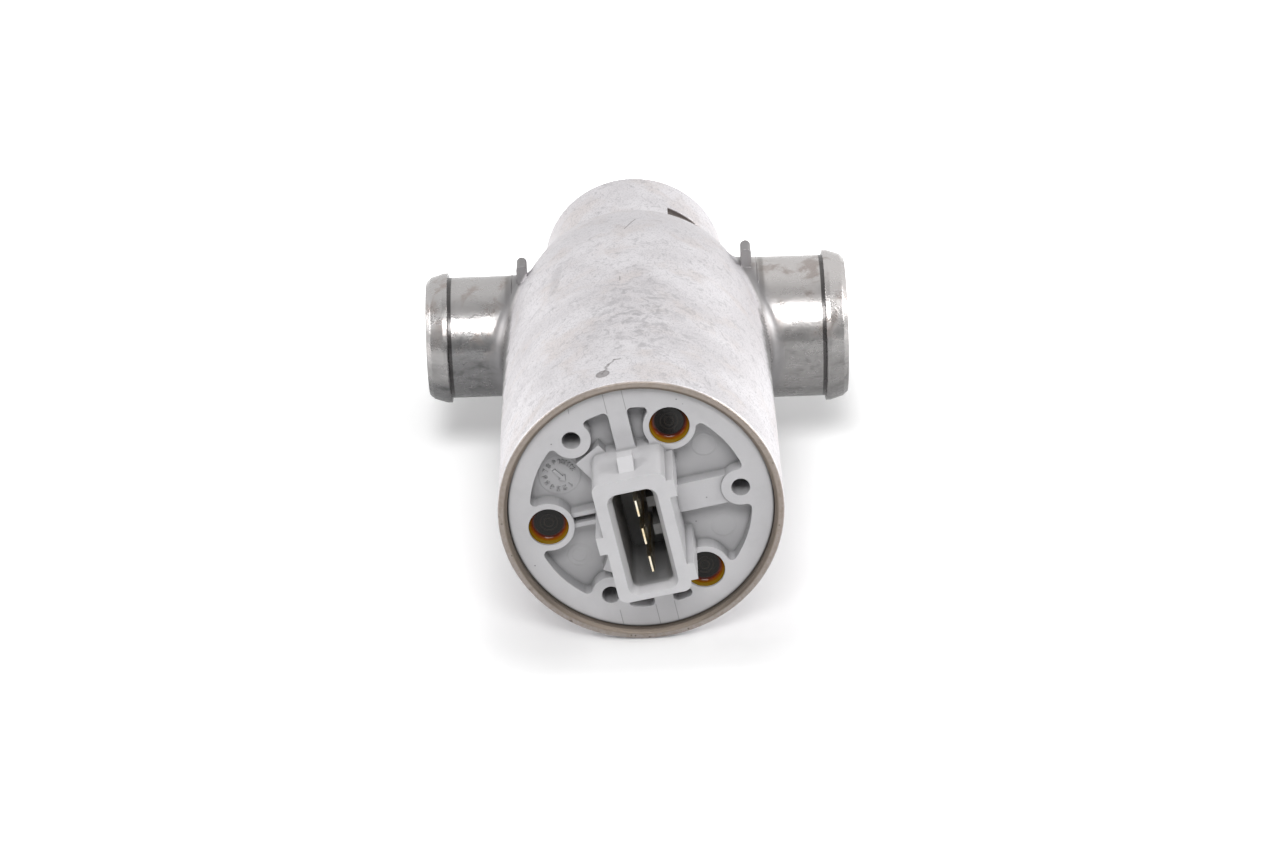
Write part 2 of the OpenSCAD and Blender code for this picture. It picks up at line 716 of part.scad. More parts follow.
module armature_core() {
    color([0.45, 0.45, 0.47]) lay() translate([0, 0, core_z - core_l]) difference() {
        cylinder(r = core_r, h = core_l);
        translate([0, 0, -eps]) cylinder(r = shaft_r + 0.02, h = core_l + 2 * eps);
        for (a = coil_angles) rotate([0, 0, a]) translate([0, 0, -eps]) {
            translate([coil_ring_r, 0, 0]) cylinder(r = coil_r + 0.15, h = core_l + 2 * eps);
            translate([coil_ring_r, -0.7, 0]) cube([core_r, 1.4, core_l + 2 * eps]);
        }
    }
}

// One coil: two sides in the core's slots, joined by a thicker end turn at each end
module winding(a) {
    side_l = core_l + 2 * overhang;
    lap = asin(end_turn_r / coil_ring_r);
    color([0.66, 0.36, 0.16]) lay() translate([0, 0, core_z - core_l - overhang]) {
        for (s = [0, 90]) rotate([0, 0, a + s]) translate([coil_ring_r, 0, 0])
            cylinder(r = coil_r, h = side_l, $fn = 32);
        for (z = [0, side_l]) translate([0, 0, z]) rotate([0, 0, a - lap])
            rotate_extrude(angle = 90 + 2 * lap) translate([coil_ring_r, 0])
                circle(r = end_turn_r, $fn = 32);
    }
}

bar_top_z = brush_z + bar_l / 2;

module commutator_hub() {
    hub_l = bar_l + 2;
    color([0.30, 0.15, 0.08]) lay() translate([0, 0, bar_top_z - hub_l])
        tube(commutator_r - 1.2, shaft_r + 0.02, hub_l);
}

module commutator_bars() {
    color([0.78, 0.45, 0.22]) lay() turn() translate([0, 0, bar_top_z - bar_l]) for (a = brush_angles) {
        arc_bar(commutator_r - 1.18, commutator_r, bar_l, 116, a);
    }
}

// Dished washer that loads the bearings endways
module preload_washer() {
    t = 0.2;
    lift = washer_t - t;
    inner = bearing_r - 1.6;
    outer = bearing_r - 0.15;
    color([0.70, 0.70, 0.72]) lay() translate([0, 0, front_bearing_z]) rotate_extrude()
        polygon([[inner, lift], [outer, 0], [outer, t], [inner, washer_t]]);
}

ball_ring_r = (bearing_r + shaft_r) / 2;
groove_r = ball_r + 0.05;

module bearing_outer(z) {
    color([0.70, 0.71, 0.73]) lay() translate([0, 0, z - bearing_w]) difference() {
        tube(bearing_r, ball_ring_r + 0.6, bearing_w);
        translate([0, 0, bearing_w / 2]) rotate_extrude() translate([ball_ring_r, 0])
            circle(r = groove_r, $fn = 32);
    }
}

module bearing_inner(z) {
    color([0.66, 0.67, 0.70]) lay() translate([0, 0, z - bearing_w]) difference() {
        tube(ball_ring_r - 0.6, shaft_r + 0.01, bearing_w);
        translate([0, 0, bearing_w / 2]) rotate_extrude() translate([ball_ring_r, 0])
            circle(r = groove_r, $fn = 32);
    }
}

module bearing_balls(z) {
    color([0.80, 0.81, 0.83]) lay() translate([0, 0, z - bearing_w / 2])
        for (i = [0:ball_count - 1]) rotate([0, 0, 360 * i / ball_count])
            translate([ball_ring_r, 0, 0]) sphere(r = ball_r, $fn = 32);
}

module shaft_seal() {
    seal_l = bulkhead_t - 0.7;
    color([0.12, 0.12, 0.12]) lay() translate([0, 0, chamber_z + 0.62])
        tube(seal_bore_r - seat_gap, shaft_r + 0.08, seal_l);
}

module stop_pin_place() {
    rotate([0, 0, stop_direction]) translate([stop_ring_r, 0, 0]) children();
}

module stop_pin_hole() {
    translate([0, 0, chamber_z - eps]) stop_pin_place()
        cylinder(r = stop_pin_r + 0.02, h = bulkhead_t - 1.4);
}

module stop_pin() {
    pin_l = bulkhead_t - 1.5 + slide_end_gap + plate_t;
    color([0.72, 0.72, 0.74]) lay() translate([0, 0, chamber_z - slide_end_gap - plate_t])
        stop_pin_place() cylinder(r = stop_pin_r, h = pin_l);
}

// Rotary slide: a hub, two end plates and the curved segment that covers the large duct
slide_direction = 45;
stop_direction = slide_direction + 180;
slide_end_gap = 0.3;
plate_t = 1.6;

module rotary_slide() {
    slide_l = chamber_l - 2 * slide_end_gap;
    slot_half = stop_pin_r + 0.15;
    color([0.62, 0.60, 0.52]) lay() translate([0, 0, carrier_z + slide_end_gap]) difference() {
        union() {
            cylinder(r = hub_r, h = slide_l);
            arc_bar(slide_r - slide_wall, slide_r, slide_l, slide_angle, slide_direction);
            arc_bar(1, slide_r - slide_wall + 0.2, plate_t, slide_angle, slide_direction);
            translate([0, 0, slide_l - plate_t]) {
                cylinder(r = stop_ring_r + slot_half + 1.3, h = plate_t);
                arc_bar(1, slide_r - slide_wall + 0.2, plate_t, slide_angle, slide_direction);
            }
        }
        translate([0, 0, -eps]) cylinder(r = shaft_r + 0.02, h = slide_l + 2 * eps);
        translate([0, 0, slide_l - plate_t - eps]) {
            arc_bar(stop_ring_r - slot_half, stop_ring_r + slot_half, plate_t + 2 * eps, travel,
                stop_direction);
            for (s = [-1, 1]) rotate([0, 0, stop_direction + s * travel / 2])
                translate([stop_ring_r, 0, 0]) cylinder(r = slot_half, h = plate_t + 2 * eps);
        }
    }
}

// Carrier pressed in behind the slide, with the rear bearing's seat
module bearing_carrier() {
    seat_z = rear_bearing_z;
    color([0.74, 0.74, 0.75]) lay() difference() {
        translate([0, 0, carrier_z - carrier_l]) cylinder(r = carrier_bore_r - seat_gap, h = carrier_l);
        translate([0, 0, carrier_z - carrier_l - eps])
            cylinder(r = bearing_r + seat_gap, h = seat_z - carrier_z + carrier_l + eps);
        translate([0, 0, carrier_z - carrier_l]) cylinder(r = shaft_hole_r, h = carrier_l + eps);
        translate([0, 0, carrier_z - carrier_l - eps]) tube(carrier_bore_r - 2, bearing_r + 2, 4.5);
    }
}

module shaft_clip() {
    color([0.25, 0.25, 0.27]) lay() translate([0, 0, clip_z - clip_t + 0.03])
        arc_bar(shaft_r - 0.45, shaft_r + 1.4, clip_t - 0.06, 290, 90);
}

// End cap with a groove for its sealing ring
module end_cap() {
    rim = cap_bore_r - slip_gap;
    color([0.70, 0.70, 0.71]) lay() difference() {
        translate([0, 0, cap_z - cap_t]) cylinder(r = rim, h = cap_t);
        translate([0, 0, cap_z - cap_t - eps]) cylinder(r = rim - 3, h = 1.6);
        translate([0, 0, cap_seal_z - cap_seal_l / 2])
            tube(rim + 1, cap_bore_r - cap_seal_t - 0.05, cap_seal_l);
    }
}

module end_cap_seal() {
    color([0.10, 0.10, 0.10]) lay() translate([0, 0, cap_seal_z]) rotate_extrude()
        translate([cap_bore_r - 0.02 - cap_seal_t / 2, 0]) circle(r = cap_seal_t / 2, $fn = 24);
}

module end_cap_ring() {
    color([0.35, 0.35, 0.37]) lay() translate([0, 0, cap_z - cap_t - cap_ring_t - slip_gap / 2])
        arc_bar(cap_bore_r - 1.6, cap_bore_r + 0.6, cap_ring_t, 330, 90);
}

housing();
end_cover();
cover_seal();
cover_screws();
screw_sealant();
terminal(0);  // terminal_1
terminal(1);  // terminal_2
terminal(2);  // terminal_3
brush_holder();
brush(0);  // brush_1
brush(1);  // brush_2
brush(2);  // brush_3
brush_springs();
pole_tube();
magnet(90);  // magnet_upper
magnet(270);  // magnet_lower
shaft();
armature_core();
winding(45);  // winding_upper
winding(225);  // winding_lower
commutator_hub();
commutator_bars();
preload_washer();
bearing_outer(front_bearing_z);  // front_bearing_outer
bearing_inner(front_bearing_z);  // front_bearing_inner
bearing_balls(front_bearing_z);  // front_bearing_balls
shaft_seal();
stop_pin();
rotary_slide();
bearing_carrier();
bearing_outer(rear_bearing_z);  // rear_bearing_outer
bearing_inner(rear_bearing_z);  // rear_bearing_inner
bearing_balls(rear_bearing_z);  // rear_bearing_balls
shaft_clip();
end_cap();
end_cap_seal();
end_cap_ring();
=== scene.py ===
"""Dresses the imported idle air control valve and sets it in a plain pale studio."""
import json
import logging
import math
from dataclasses import dataclass, field
from enum import Enum
from typing import Sequence

import bpy
from mathutils import Matrix, Vector


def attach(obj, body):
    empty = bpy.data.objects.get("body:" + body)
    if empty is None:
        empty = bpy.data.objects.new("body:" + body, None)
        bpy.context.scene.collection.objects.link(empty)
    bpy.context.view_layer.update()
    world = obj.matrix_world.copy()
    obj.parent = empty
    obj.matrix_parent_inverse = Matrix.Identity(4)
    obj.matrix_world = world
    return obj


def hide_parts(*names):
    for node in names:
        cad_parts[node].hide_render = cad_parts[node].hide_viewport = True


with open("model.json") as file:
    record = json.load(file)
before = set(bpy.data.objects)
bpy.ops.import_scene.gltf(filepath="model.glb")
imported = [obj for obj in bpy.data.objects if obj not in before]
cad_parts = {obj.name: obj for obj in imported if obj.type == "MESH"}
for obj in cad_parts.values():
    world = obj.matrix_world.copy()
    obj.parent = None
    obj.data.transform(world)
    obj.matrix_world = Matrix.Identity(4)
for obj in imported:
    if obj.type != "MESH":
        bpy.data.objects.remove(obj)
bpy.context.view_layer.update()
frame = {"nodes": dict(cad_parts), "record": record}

LOG = logging.getLogger("valve")
MM = 0.001

Colour = tuple[float, float, float]
Socket = bpy.types.NodeSocket
Value = float | Socket


class Body(Enum):
    """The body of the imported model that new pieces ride."""

    VALVE = "valve_body"


class Slot(Enum):
    """The record's material slots that match the new pieces' finishes."""

    CAST = "cast_aluminium"
    PLASTIC = "grey_plastic"
    RESIN = "amber_resin"


class NodeSheet:
    """The node tree of one procedural material, with places given in millimetres."""

    def __init__(self, name: str) -> None:
        """Starts a material with one principled shader.

        Args:
            name: Name of the material.
        """
        self.material = bpy.data.materials.new(name)
        self.material.use_nodes = True
        self.tree = self.material.node_tree
        self.tree.nodes.clear()
        self.shader = self.tree.nodes.new("ShaderNodeBsdfPrincipled")
        output = self.tree.nodes.new("ShaderNodeOutputMaterial")
        self.tree.links.new(self.shader.outputs[0], output.inputs["Surface"])

    def put(self, socket: Socket, value: object) -> None:
        """Sets a socket to a constant or links it to another socket."""
        if isinstance(value, bpy.types.NodeSocket):
            self.tree.links.new(value, socket)
        elif isinstance(value, tuple) and len(value) == 3 and socket.type == "RGBA":
            socket.default_value = (*value, 1.0)
        else:
            socket.default_value = value

    def place(self, turned: float = 0.0, squeeze: Colour = (1.0, 1.0, 1.0)) -> Socket:
        """Gives the place on the object in millimetres.

        Args:
            turned: Turn about the body axis, in degrees, for pieces of the turned cover.
            squeeze: Factors along the three axes, for stretched patterns.

        Returns:
            The vector socket with the place.
        """
        coords = self.tree.nodes.new("ShaderNodeTexCoord").outputs["Object"]
        scale = self.tree.nodes.new("ShaderNodeMapping")
        self.put(scale.inputs["Vector"], coords)
        scale.inputs["Scale"].default_value = [1000.0 * s for s in squeeze]
        if not turned:
            return scale.outputs[0]
        turn = self.tree.nodes.new("ShaderNodeVectorRotate")
        turn.rotation_type = "Y_AXIS"
        self.put(turn.inputs["Vector"], scale.outputs[0])
        turn.inputs["Angle"].default_value = math.radians(turned)
        return turn.outputs[0]

    def split(self, vector: Socket) -> tuple[Socket, Socket, Socket]:
        """Gives the three parts of a vector."""
        parts = self.tree.nodes.new("ShaderNodeSeparateXYZ")
        self.put(parts.inputs[0], vector)
        return parts.outputs[0], parts.outputs[1], parts.outputs[2]

    def rings(self, place: Socket) -> Socket:
        """Gives the distance from the valve's axis and along it, for the rings of turned pieces."""
        x, y, z = self.split(place)
        joined = self.tree.nodes.new("ShaderNodeCombineXYZ")
        self.put(joined.inputs[0], self.length(x, z))
        self.put(joined.inputs[1], y)
        return joined.outputs[0]

    def calc(self, operation: str, first: Value, second: Value = 0.0) -> Socket:
        """Gives the result of one sum on one or two values."""
        node = self.tree.nodes.new("ShaderNodeMath")
        node.operation = operation
        self.put(node.inputs[0], first)
        self.put(node.inputs[1], second)
        return node.outputs[0]

    def length(self, first: Value, second: Value) -> Socket:
        """Gives the length of a flat vector."""
        square = self.calc("MULTIPLY", first, first)
        other = self.calc("MULTIPLY", second, second)
        return self.calc("SQRT", self.calc("ADD", square, other))

    def rise(self, value: Value, start: float, end: float) -> Socket:
        """Gives 0 before start and 1 after end, with a smooth rise between them."""
        node = self.tree.nodes.new("ShaderNodeMapRange")
        node.interpolation_type = "SMOOTHSTEP"
        falls = start > end
        self.put(node.inputs["Value"], value)
        node.inputs["From Min"].default_value = min(start, end)
        node.inputs["From Max"].default_value = max(start, end)
        node.inputs["To Min"].default_value = 1.0 if falls else 0.0
        node.inputs["To Max"].default_value = 0.0 if falls else 1.0
        return node.outputs[0]

    def noise(self, place: Socket, per_mm: float, detail: float = 3.0, rough: float = 0.5,
              bend: float = 0.0) -> Socket:
        """Gives a cloudy pattern.

        Args:
            place: Place in millimetres.
            per_mm: Number of clouds in a millimetre.
            detail: Number of finer layers.
            rough: Strength of the finer layers.
            bend: Amount by which the clouds are stirred.

        Returns:
            The pattern from 0 to 1.
        """
        node = self.tree.nodes.new("ShaderNodeTexNoise")
        self.put(node.inputs["Vector"], place)
        node.inputs["Scale"].default_value = per_mm
        node.inputs["Detail"].default_value = detail
        node.inputs["Roughness"].default_value = rough
        node.inputs["Distortion"].default_value = bend
        return node.outputs[0]

    def specks(self, place: Socket, per_mm: float, size: float) -> Socket:
        """Gives 1 in small round specks and 0 between them."""
        node = self.tree.nodes.new("ShaderNodeTexVoronoi")
        self.put(node.inputs["Vector"], place)
        node.inputs["Scale"].default_value = per_mm
        return self.rise(node.outputs["Distance"], size, size * 0.5)

    def mix(self, share: Value, first: object, second: object) -> Socket:
        """Gives the first colour where share is 0 and the second where it is 1."""
        node = self.tree.nodes.new("ShaderNodeMix")
        node.data_type = "RGBA"
        self.put(node.inputs[0], share)
        self.put(node.inputs[6], first)
        self.put(node.inputs[7], second)
        return node.outputs[2]

    def between(self, share: Value, first: Value, second: Value) -> Socket:
        """Gives the first value where share is 0 and the second where it is 1."""
        node = self.tree.nodes.new("ShaderNodeMix")
        self.put(node.inputs[0], share)
        self.put(node.inputs[2], first)
        self.put(node.inputs[3], second)
        return node.outputs[0]

    def strip(self, value: Value, middle: float, half: float, soft: float = 0.06) -> Socket:
        """Gives 1 where a value is near its middle, and 0 farther than half a width away."""
        off = self.calc("ABSOLUTE", self.calc("SUBTRACT", value, middle))
        return self.rise(off, half + soft, half)

    def both(self, *shares: Value) -> Socket:
        """Gives the product of several shares."""
        total = shares[0]
        for share in shares[1:]:
            total = self.calc("MULTIPLY", total, share)
        return total

    def line(self, u: Value, v: Value, ends: Sequence[float], half: float, soft: float = 0.1) -> Socket:
        """Gives 1 on a short straight mark.

        Args:
            u: First coordinate in millimetres.
            v: Second coordinate in millimetres.
            ends: The mark's ends, as four numbers.
            half: Half of the mark's width.
            soft: Width over which its edge fades.

        Returns:
            The share of the mark.
        """
        du, dv = ends[2] - ends[0], ends[3] - ends[1]
        span = du * du + dv * dv
        pu, pv = self.calc("SUBTRACT", u, ends[0]), self.calc("SUBTRACT", v, ends[1])
        along = self.calc("ADD", self.both(pu, du / span), self.both(pv, dv / span))
        along = self.calc("MINIMUM", self.calc("MAXIMUM", along, 0.0), 1.0)
        off_u = self.calc("SUBTRACT", pu, self.calc("MULTIPLY", along, du))
        off_v = self.calc("SUBTRACT", pv, self.calc("MULTIPLY", along, dv))
        return self.rise(self.length(off_u, off_v), half + soft, half)

    def lie(self, turned: float) -> tuple[Socket, Socket, Socket]:
        """Gives the three parts of the surface's own direction, for a turned piece."""
        coords = self.tree.nodes.new("ShaderNodeTexCoord").outputs["Normal"]
        turn = self.tree.nodes.new("ShaderNodeVectorRotate")
        turn.rotation_type = "Y_AXIS"
        self.put(turn.inputs["Vector"], coords)
        turn.inputs["Angle"].default_value = math.radians(turned)
        return self.split(turn.outputs[0])

    def corners(self, reach: float) -> Socket:
        """Gives 1 in the open, and less in corners within a reach in millimetres."""
        node = self.tree.nodes.new("ShaderNodeAmbientOcclusion")
        node.samples = 8
        node.inputs["Distance"].default_value = reach * MM
        return node.outputs["AO"]

    def rounded(self, radius: float) -> Socket:
        """Gives normals that round the edges by a radius in millimetres."""
        node = self.tree.nodes.new("ShaderNodeBevel")
        node.samples = 6
        node.inputs["Radius"].default_value = radius * MM
        return node.outputs[0]

    def bump(self, height: Socket, depth: Value, normal: Socket | None = None) -> Socket:
        """Gives normals for a relief.

        Args:
            height: Relief from 0 to 1.
            depth: Its full height in millimetres.
            normal: Normals that it is laid on.

        Returns:
            The normals.
        """
        node = self.tree.nodes.new("ShaderNodeBump")
        tall = self.calc("MULTIPLY", height, depth)
        self.put(node.inputs["Height"], tall)
        node.inputs["Distance"].default_value = MM
        if normal is not None:
            self.put(node.inputs["Normal"], normal)
        return node.outputs[0]

    def dress(self, **values: object) -> bpy.types.Material:
        """Sets the shader's sockets by name, with spaces written as underscores."""
        for name, value in values.items():
            self.put(self.shader.inputs[name.replace("_", " ")], value)
        return self.material


@dataclass(frozen=True)
class CastAluminium:
    """Shot-blasted casting with glossier stained stubs and a machined rim."""

    pale: Colour = (0.84, 0.82, 0.84)
    cloud: Colour = (0.68, 0.655, 0.67)
    blush: Colour = (0.745, 0.69, 0.675)
    # The darker tone below serves the mottling and also the painted shade on the body's top.
    smoke: Colour = (0.44, 0.425, 0.44)
    ink: Colour = (0.20, 0.18, 0.18)
    # The stubs' tones: the top and bright tones are painted light, the low and right tones are painted
    # shade on the lower halves, and the dark and shade tones are deeper painted shade at the bottoms.
    stub_top: Colour = (0.53, 0.515, 0.51)
    stub_bright: Colour = (0.64, 0.615, 0.605)
    stub_low: Colour = (0.25, 0.248, 0.25)
    stub_right: Colour = (0.33, 0.322, 0.318)
    stub_stain: Colour = (0.37, 0.315, 0.29)
    stub_dark: Colour = (0.09, 0.09, 0.092)
    stub_shade: Colour = (0.17, 0.166, 0.165)
    # Colour of the painted shade at the stubs' roots, which the lugs share as their darker tone.
    root: Colour = (0.27, 0.264, 0.27)
    machined: Colour = (0.35, 0.31, 0.287)
    machined_dark: Colour = (0.25, 0.21, 0.175)
    # This dark colour marks nicks and specks, and also serves as painted shade in the ducts and the
    # barrel's recess.
    film: Colour = (0.12, 0.10, 0.085)
    groove: Colour = (0.045, 0.042, 0.042)
    scratches: tuple[tuple[tuple[float, ...], float, float], ...] = (
        ((-1.36, 34.1, 0.6, 39.9), 0.03, 0.75), ((-2.3, 12.8, -2.3, 11.2), 0.05, 0.5))
    trail: tuple[tuple[float, ...], ...] = (
        (-5.2, -25.3, -4.3, -22.2), (-4.3, -22.2, -3.4, -20.8), (-3.4, -20.8, -2.4, -20.8))

    def narrowing(self, sheet: NodeSheet, y: Socket) -> Socket:
        """Gives the amount by which the body's radius shrinks towards the rear, in millimetres."""
        narrow = sheet.calc("DIVIDE", sheet.calc("SUBTRACT", y, 27.7), 20.0)
        narrow = sheet.calc("MINIMUM", sheet.calc("MAXIMUM", narrow, 0.0), 1.04)
        return sheet.both(2.4, narrow, narrow)

    def skin_gap(self, sheet: NodeSheet, y: Socket, away: Socket) -> Socket:
        """Gives the distance beyond the body's own skin, in millimetres."""
        skin = sheet.calc("SUBTRACT", 23.0, self.narrowing(sheet, y))
        return sheet.calc("SUBTRACT", away, skin)

    def body(self, sheet: NodeSheet, place: Socket, grain: Socket) -> Socket:
        """Gives the colour of the shot-blasted body with its marks, and with painted shade on its top, on
        its sides beside the stubs and in the barrel's recess.

        Args:
            sheet: The material's node tree.
            place: Place in millimetres.
            grain: Fine pattern of the blasted skin.

        Returns:
            The colour.
        """
        x, y, z = sheet.split(place)
        clouds = sheet.noise(place, 0.07, 3.0, 0.55, 0.4)
        mottle = sheet.noise(place, 0.45, 4.0, 0.65, 1.2)
        strokes = sheet.noise(sheet.place(squeeze=(1.0, 0.4, 1.0)), 1.5, 4.0, 0.7, 2.0)
        warm = sheet.noise(place, 0.13, 3.0, 0.6, 0.3)
        body = sheet.mix(sheet.both(sheet.rise(clouds, 0.62, 0.38), 0.55), self.pale, self.cloud)
        body = sheet.mix(sheet.both(sheet.rise(warm, 0.48, 0.7), 0.6), body, self.blush)
        body = sheet.mix(sheet.both(sheet.rise(mottle, 0.52, 0.72), 0.46), body, self.smoke)
        body = sheet.mix(sheet.both(sheet.rise(strokes, 0.53, 0.7), 0.55), body, self.smoke)
        body = sheet.mix(sheet.both(sheet.rise(grain, 0.5, 0.7), 0.42), body, self.smoke)
        body = sheet.mix(sheet.both(sheet.specks(place, 0.3, 0.05), 0.4), body, self.ink)
        up = sheet.rise(z, 5.0, 8.0)
        # Painted shade: the crown of the body's top is darkened a little.
        crown = sheet.rise(sheet.calc("ABSOLUTE", x), 17.0, 4.0)
        body = sheet.mix(sheet.both(crown, up, sheet.rise(y, 50.0, 47.0), 0.05), body, self.smoke)
        # Painted shade: the body's sides beside the stubs are darkened, speckled by the grain.
        flank = sheet.calc("ADD", sheet.calc("ABSOLUTE", x), self.narrowing(sheet, y))
        spread = sheet.both(sheet.calc("SUBTRACT", mottle, 0.5), 2.2)
        flank = sheet.calc("ADD", flank, spread)
        flank = sheet.calc("ADD", flank, sheet.both(sheet.calc("SUBTRACT", y, 10.0), 0.045))
        beside = sheet.both(sheet.rise(y, -12.0, 12.0), sheet.rise(z, 11.0, 7.0))
        flank_shade = sheet.both(sheet.rise(flank, 21.7, 22.9), beside)
        speckled = sheet.between(sheet.rise(grain, 0.35, 0.6), 0.6, 0.95)
        body = sheet.mix(sheet.both(flank_shade, speckled), body, self.stub_shade)
        # Painted shade: the rear of the body's top is darkened in cloudy patches.
        back = sheet.both(sheet.rise(y, 26.0, 42.0), sheet.rise(y, 50.0, 47.0))
        body = sheet.mix(sheet.both(back, sheet.rise(clouds, 0.3, 0.6), up, 0.3), body, self.smoke)
        # Painted shade: a mottled patch in the middle of the body's top is darkened.
        middle = sheet.length(sheet.both(x, 0.9), sheet.both(sheet.calc("ADD", y, 4.0), 0.4))
        body = sheet.mix(sheet.both(sheet.rise(middle, 9.0, 2.0), up, sheet.rise(mottle, 0.42, 0.6), 0.5),
                         body, self.smoke)
        left = sheet.line(x, y, (-12.9, 26.0, -13.6, 17.0), 0.3, 1.0)
        body = sheet.mix(sheet.both(left, up, 0.3), body, self.smoke)
        for ends, half, strength in self.scratches:
            body = sheet.mix(sheet.both(sheet.line(x, y, ends, half), up, strength), body, self.ink)
        stir = sheet.both(sheet.calc("SUBTRACT", sheet.noise(place, 1.1, 2.0), 0.5), 1.6)
        wavy = sheet.calc("ADD", x, stir)
        for ends in self.trail:
            body = sheet.mix(sheet.both(sheet.line(wavy, y, ends, 0.13, 0.2), up, 0.55), body, self.ink)
        drop = sheet.length(sheet.calc("ADD", x, 5.33), sheet.both(sheet.calc("ADD", y, 25.4), 0.9))
        edge = sheet.both(sheet.strip(drop, 1.0, 0.05, 0.1), 0.12)
        body = sheet.mix(sheet.both(sheet.rise(drop, 1.2, 1.05), up, sheet.calc("ADD", edge, 0.6)), body,
                         self.ink)
        # Painted shade: the recess in the barrel's top is darkened.
        low = sheet.both(sheet.rise(sheet.length(x, z), 16.12, 15.9), sheet.rise(z, 8.0, 9.0),
                         sheet.strip(y, 57.9, 5.0, 0.2), sheet.rise(x, 2.0, 3.0))
        return sheet.mix(sheet.both(low, 0.85), body, self.film)

    def stubs(self, sheet: NodeSheet, place: Socket, stains: Socket, smears: Socket) -> Socket:
        """Gives the colour of the glossy hose stubs with their stains, painted lighter on top and darker
        below, with a painted highlight on the small bead and painted shade in the beads' grooves.

        Args:
            sheet: The material's node tree.
            place: Place in millimetres.
            stains: Cloudy pattern of the stains.
            smears: Pattern drawn out along the stubs.

        Returns:
            The colour.
        """
        x, y, z = sheet.split(place)
        # Painted light and shade: each stub is lighter on its upper half and darker on its lower half;
        # the right stub has lighter tones than the left.
        ragged = sheet.calc("ADD", z, sheet.calc("MULTIPLY", sheet.calc("SUBTRACT", stains, 0.5), 9.0))
        right = sheet.rise(x, 0.0, 1.0)
        lower_tone = sheet.mix(right, self.stub_low, self.stub_right)
        shade = sheet.mix(right, self.stub_dark, self.stub_shade)
        upper_tone = sheet.mix(right, self.stub_top, self.stub_bright)
        stub = sheet.mix(sheet.rise(ragged, 1.5, 6.5), lower_tone, upper_tone)
        upper = sheet.rise(z, -1.0, 5.0)
        stub = sheet.mix(sheet.both(sheet.rise(stains, 0.5, 0.66), upper, 0.7), stub, self.stub_stain)
        # The smears on the lower half are partly stains and partly painted shade, and the bottom is
        # painted darker still.
        lower = sheet.calc("SUBTRACT", 1.0, upper)
        stub = sheet.mix(sheet.both(sheet.rise(smears, 0.48, 0.7), lower, 0.65), stub, shade)
        stub = sheet.mix(sheet.both(sheet.rise(z, -4.0, -11.0), 0.75), stub, shade)
        reach = sheet.calc("ABSOLUTE", x)
        # Painted highlight: the small bead is lightened around its middle height.
        bead = sheet.both(sheet.rise(x, -32.8, -33.0), sheet.strip(z, 1.0, 4.0, 2.0))
        stub = sheet.mix(sheet.both(bead, 0.55), stub, self.stub_top)
        # Painted shade: the inner corner at each bead's shoulder is darkened.
        off = sheet.length(sheet.calc("SUBTRACT", y, 41.8), z)
        small = sheet.both(sheet.strip(reach, 32.4, 0.3, 0.14), sheet.rise(off, 11.0, 10.8))
        small = sheet.both(sheet.rise(x, 0.0, -1.0), small)
        large = sheet.both(sheet.strip(reach, 32.7, 0.3, 0.14), sheet.rise(off, 12.8, 12.6))
        large = sheet.both(right, large)
        stub = sheet.mix(sheet.both(sheet.calc("MAXIMUM", small, large), 0.85), stub, self.groove)
        foot = sheet.both(sheet.strip(reach, 22.1, 0.15, 0.6), sheet.rise(z, 6.0, 8.0), 0.55)
        return sheet.mix(foot, stub, self.film)

    def material(self) -> bpy.types.Material:
        """Makes the material of the housing and the pieces that belong to it."""
        sheet = NodeSheet("cast_aluminium")
        place = sheet.place()
        x, y, z = sheet.split(place)
        away = sheet.length(x, z)
        stub_off = sheet.length(sheet.calc("SUBTRACT", y, 41.8), z)
        gap = self.skin_gap(sheet, y, away)
        on_stub = sheet.rise(gap, 0.15, 0.7)
        reach = sheet.calc("ABSOLUTE", x)
        grain = sheet.noise(place, 3.4, 2.0, 0.6)
        stains = sheet.noise(place, 0.24, 4.0, 0.6, 0.4)
        smears = sheet.noise(sheet.place(squeeze=(0.45, 1.0, 1.0)), 0.5, 4.0, 0.6, 0.5)
        # Painted shade at each stub's root where it meets the body, together with the lugs' darker tone.
        lug = sheet.both(sheet.rise(reach, 21.2, 20.9), sheet.rise(stub_off, 13.0, 13.2))
        root = sheet.both(sheet.calc("MAXIMUM", lug, sheet.rise(gap, 3.4, 1.4)), on_stub)
        stub = sheet.mix(sheet.both(root, 0.8), self.stubs(sheet, place, stains, smears), self.root)
        colour = sheet.mix(on_stub, self.body(sheet, place, grain), stub)

        rings = sheet.noise(sheet.place(squeeze=(0.05, 1.0, 0.05)), 9.0, 2.0, 0.6)
        worn = sheet.noise(place, 1.1, 4.0, 0.7)
        worn = sheet.both(sheet.rise(worn, 0.4, 0.65), 0.6)
        turned = sheet.mix(worn, self.machined, self.machined_dark)
        turned = sheet.mix(sheet.both(sheet.rise(grain, 0.5, 0.7), 0.3), turned, self.machined_dark)
        turned = sheet.mix(sheet.both(sheet.specks(place, 0.55, 0.12), 0.8), turned, self.film)
        # Painted shade: the rim's face is darker towards the top.
        turned = sheet.mix(sheet.both(sheet.rise(z, -16.0, 6.0), 0.45), turned, self.machined_dark)
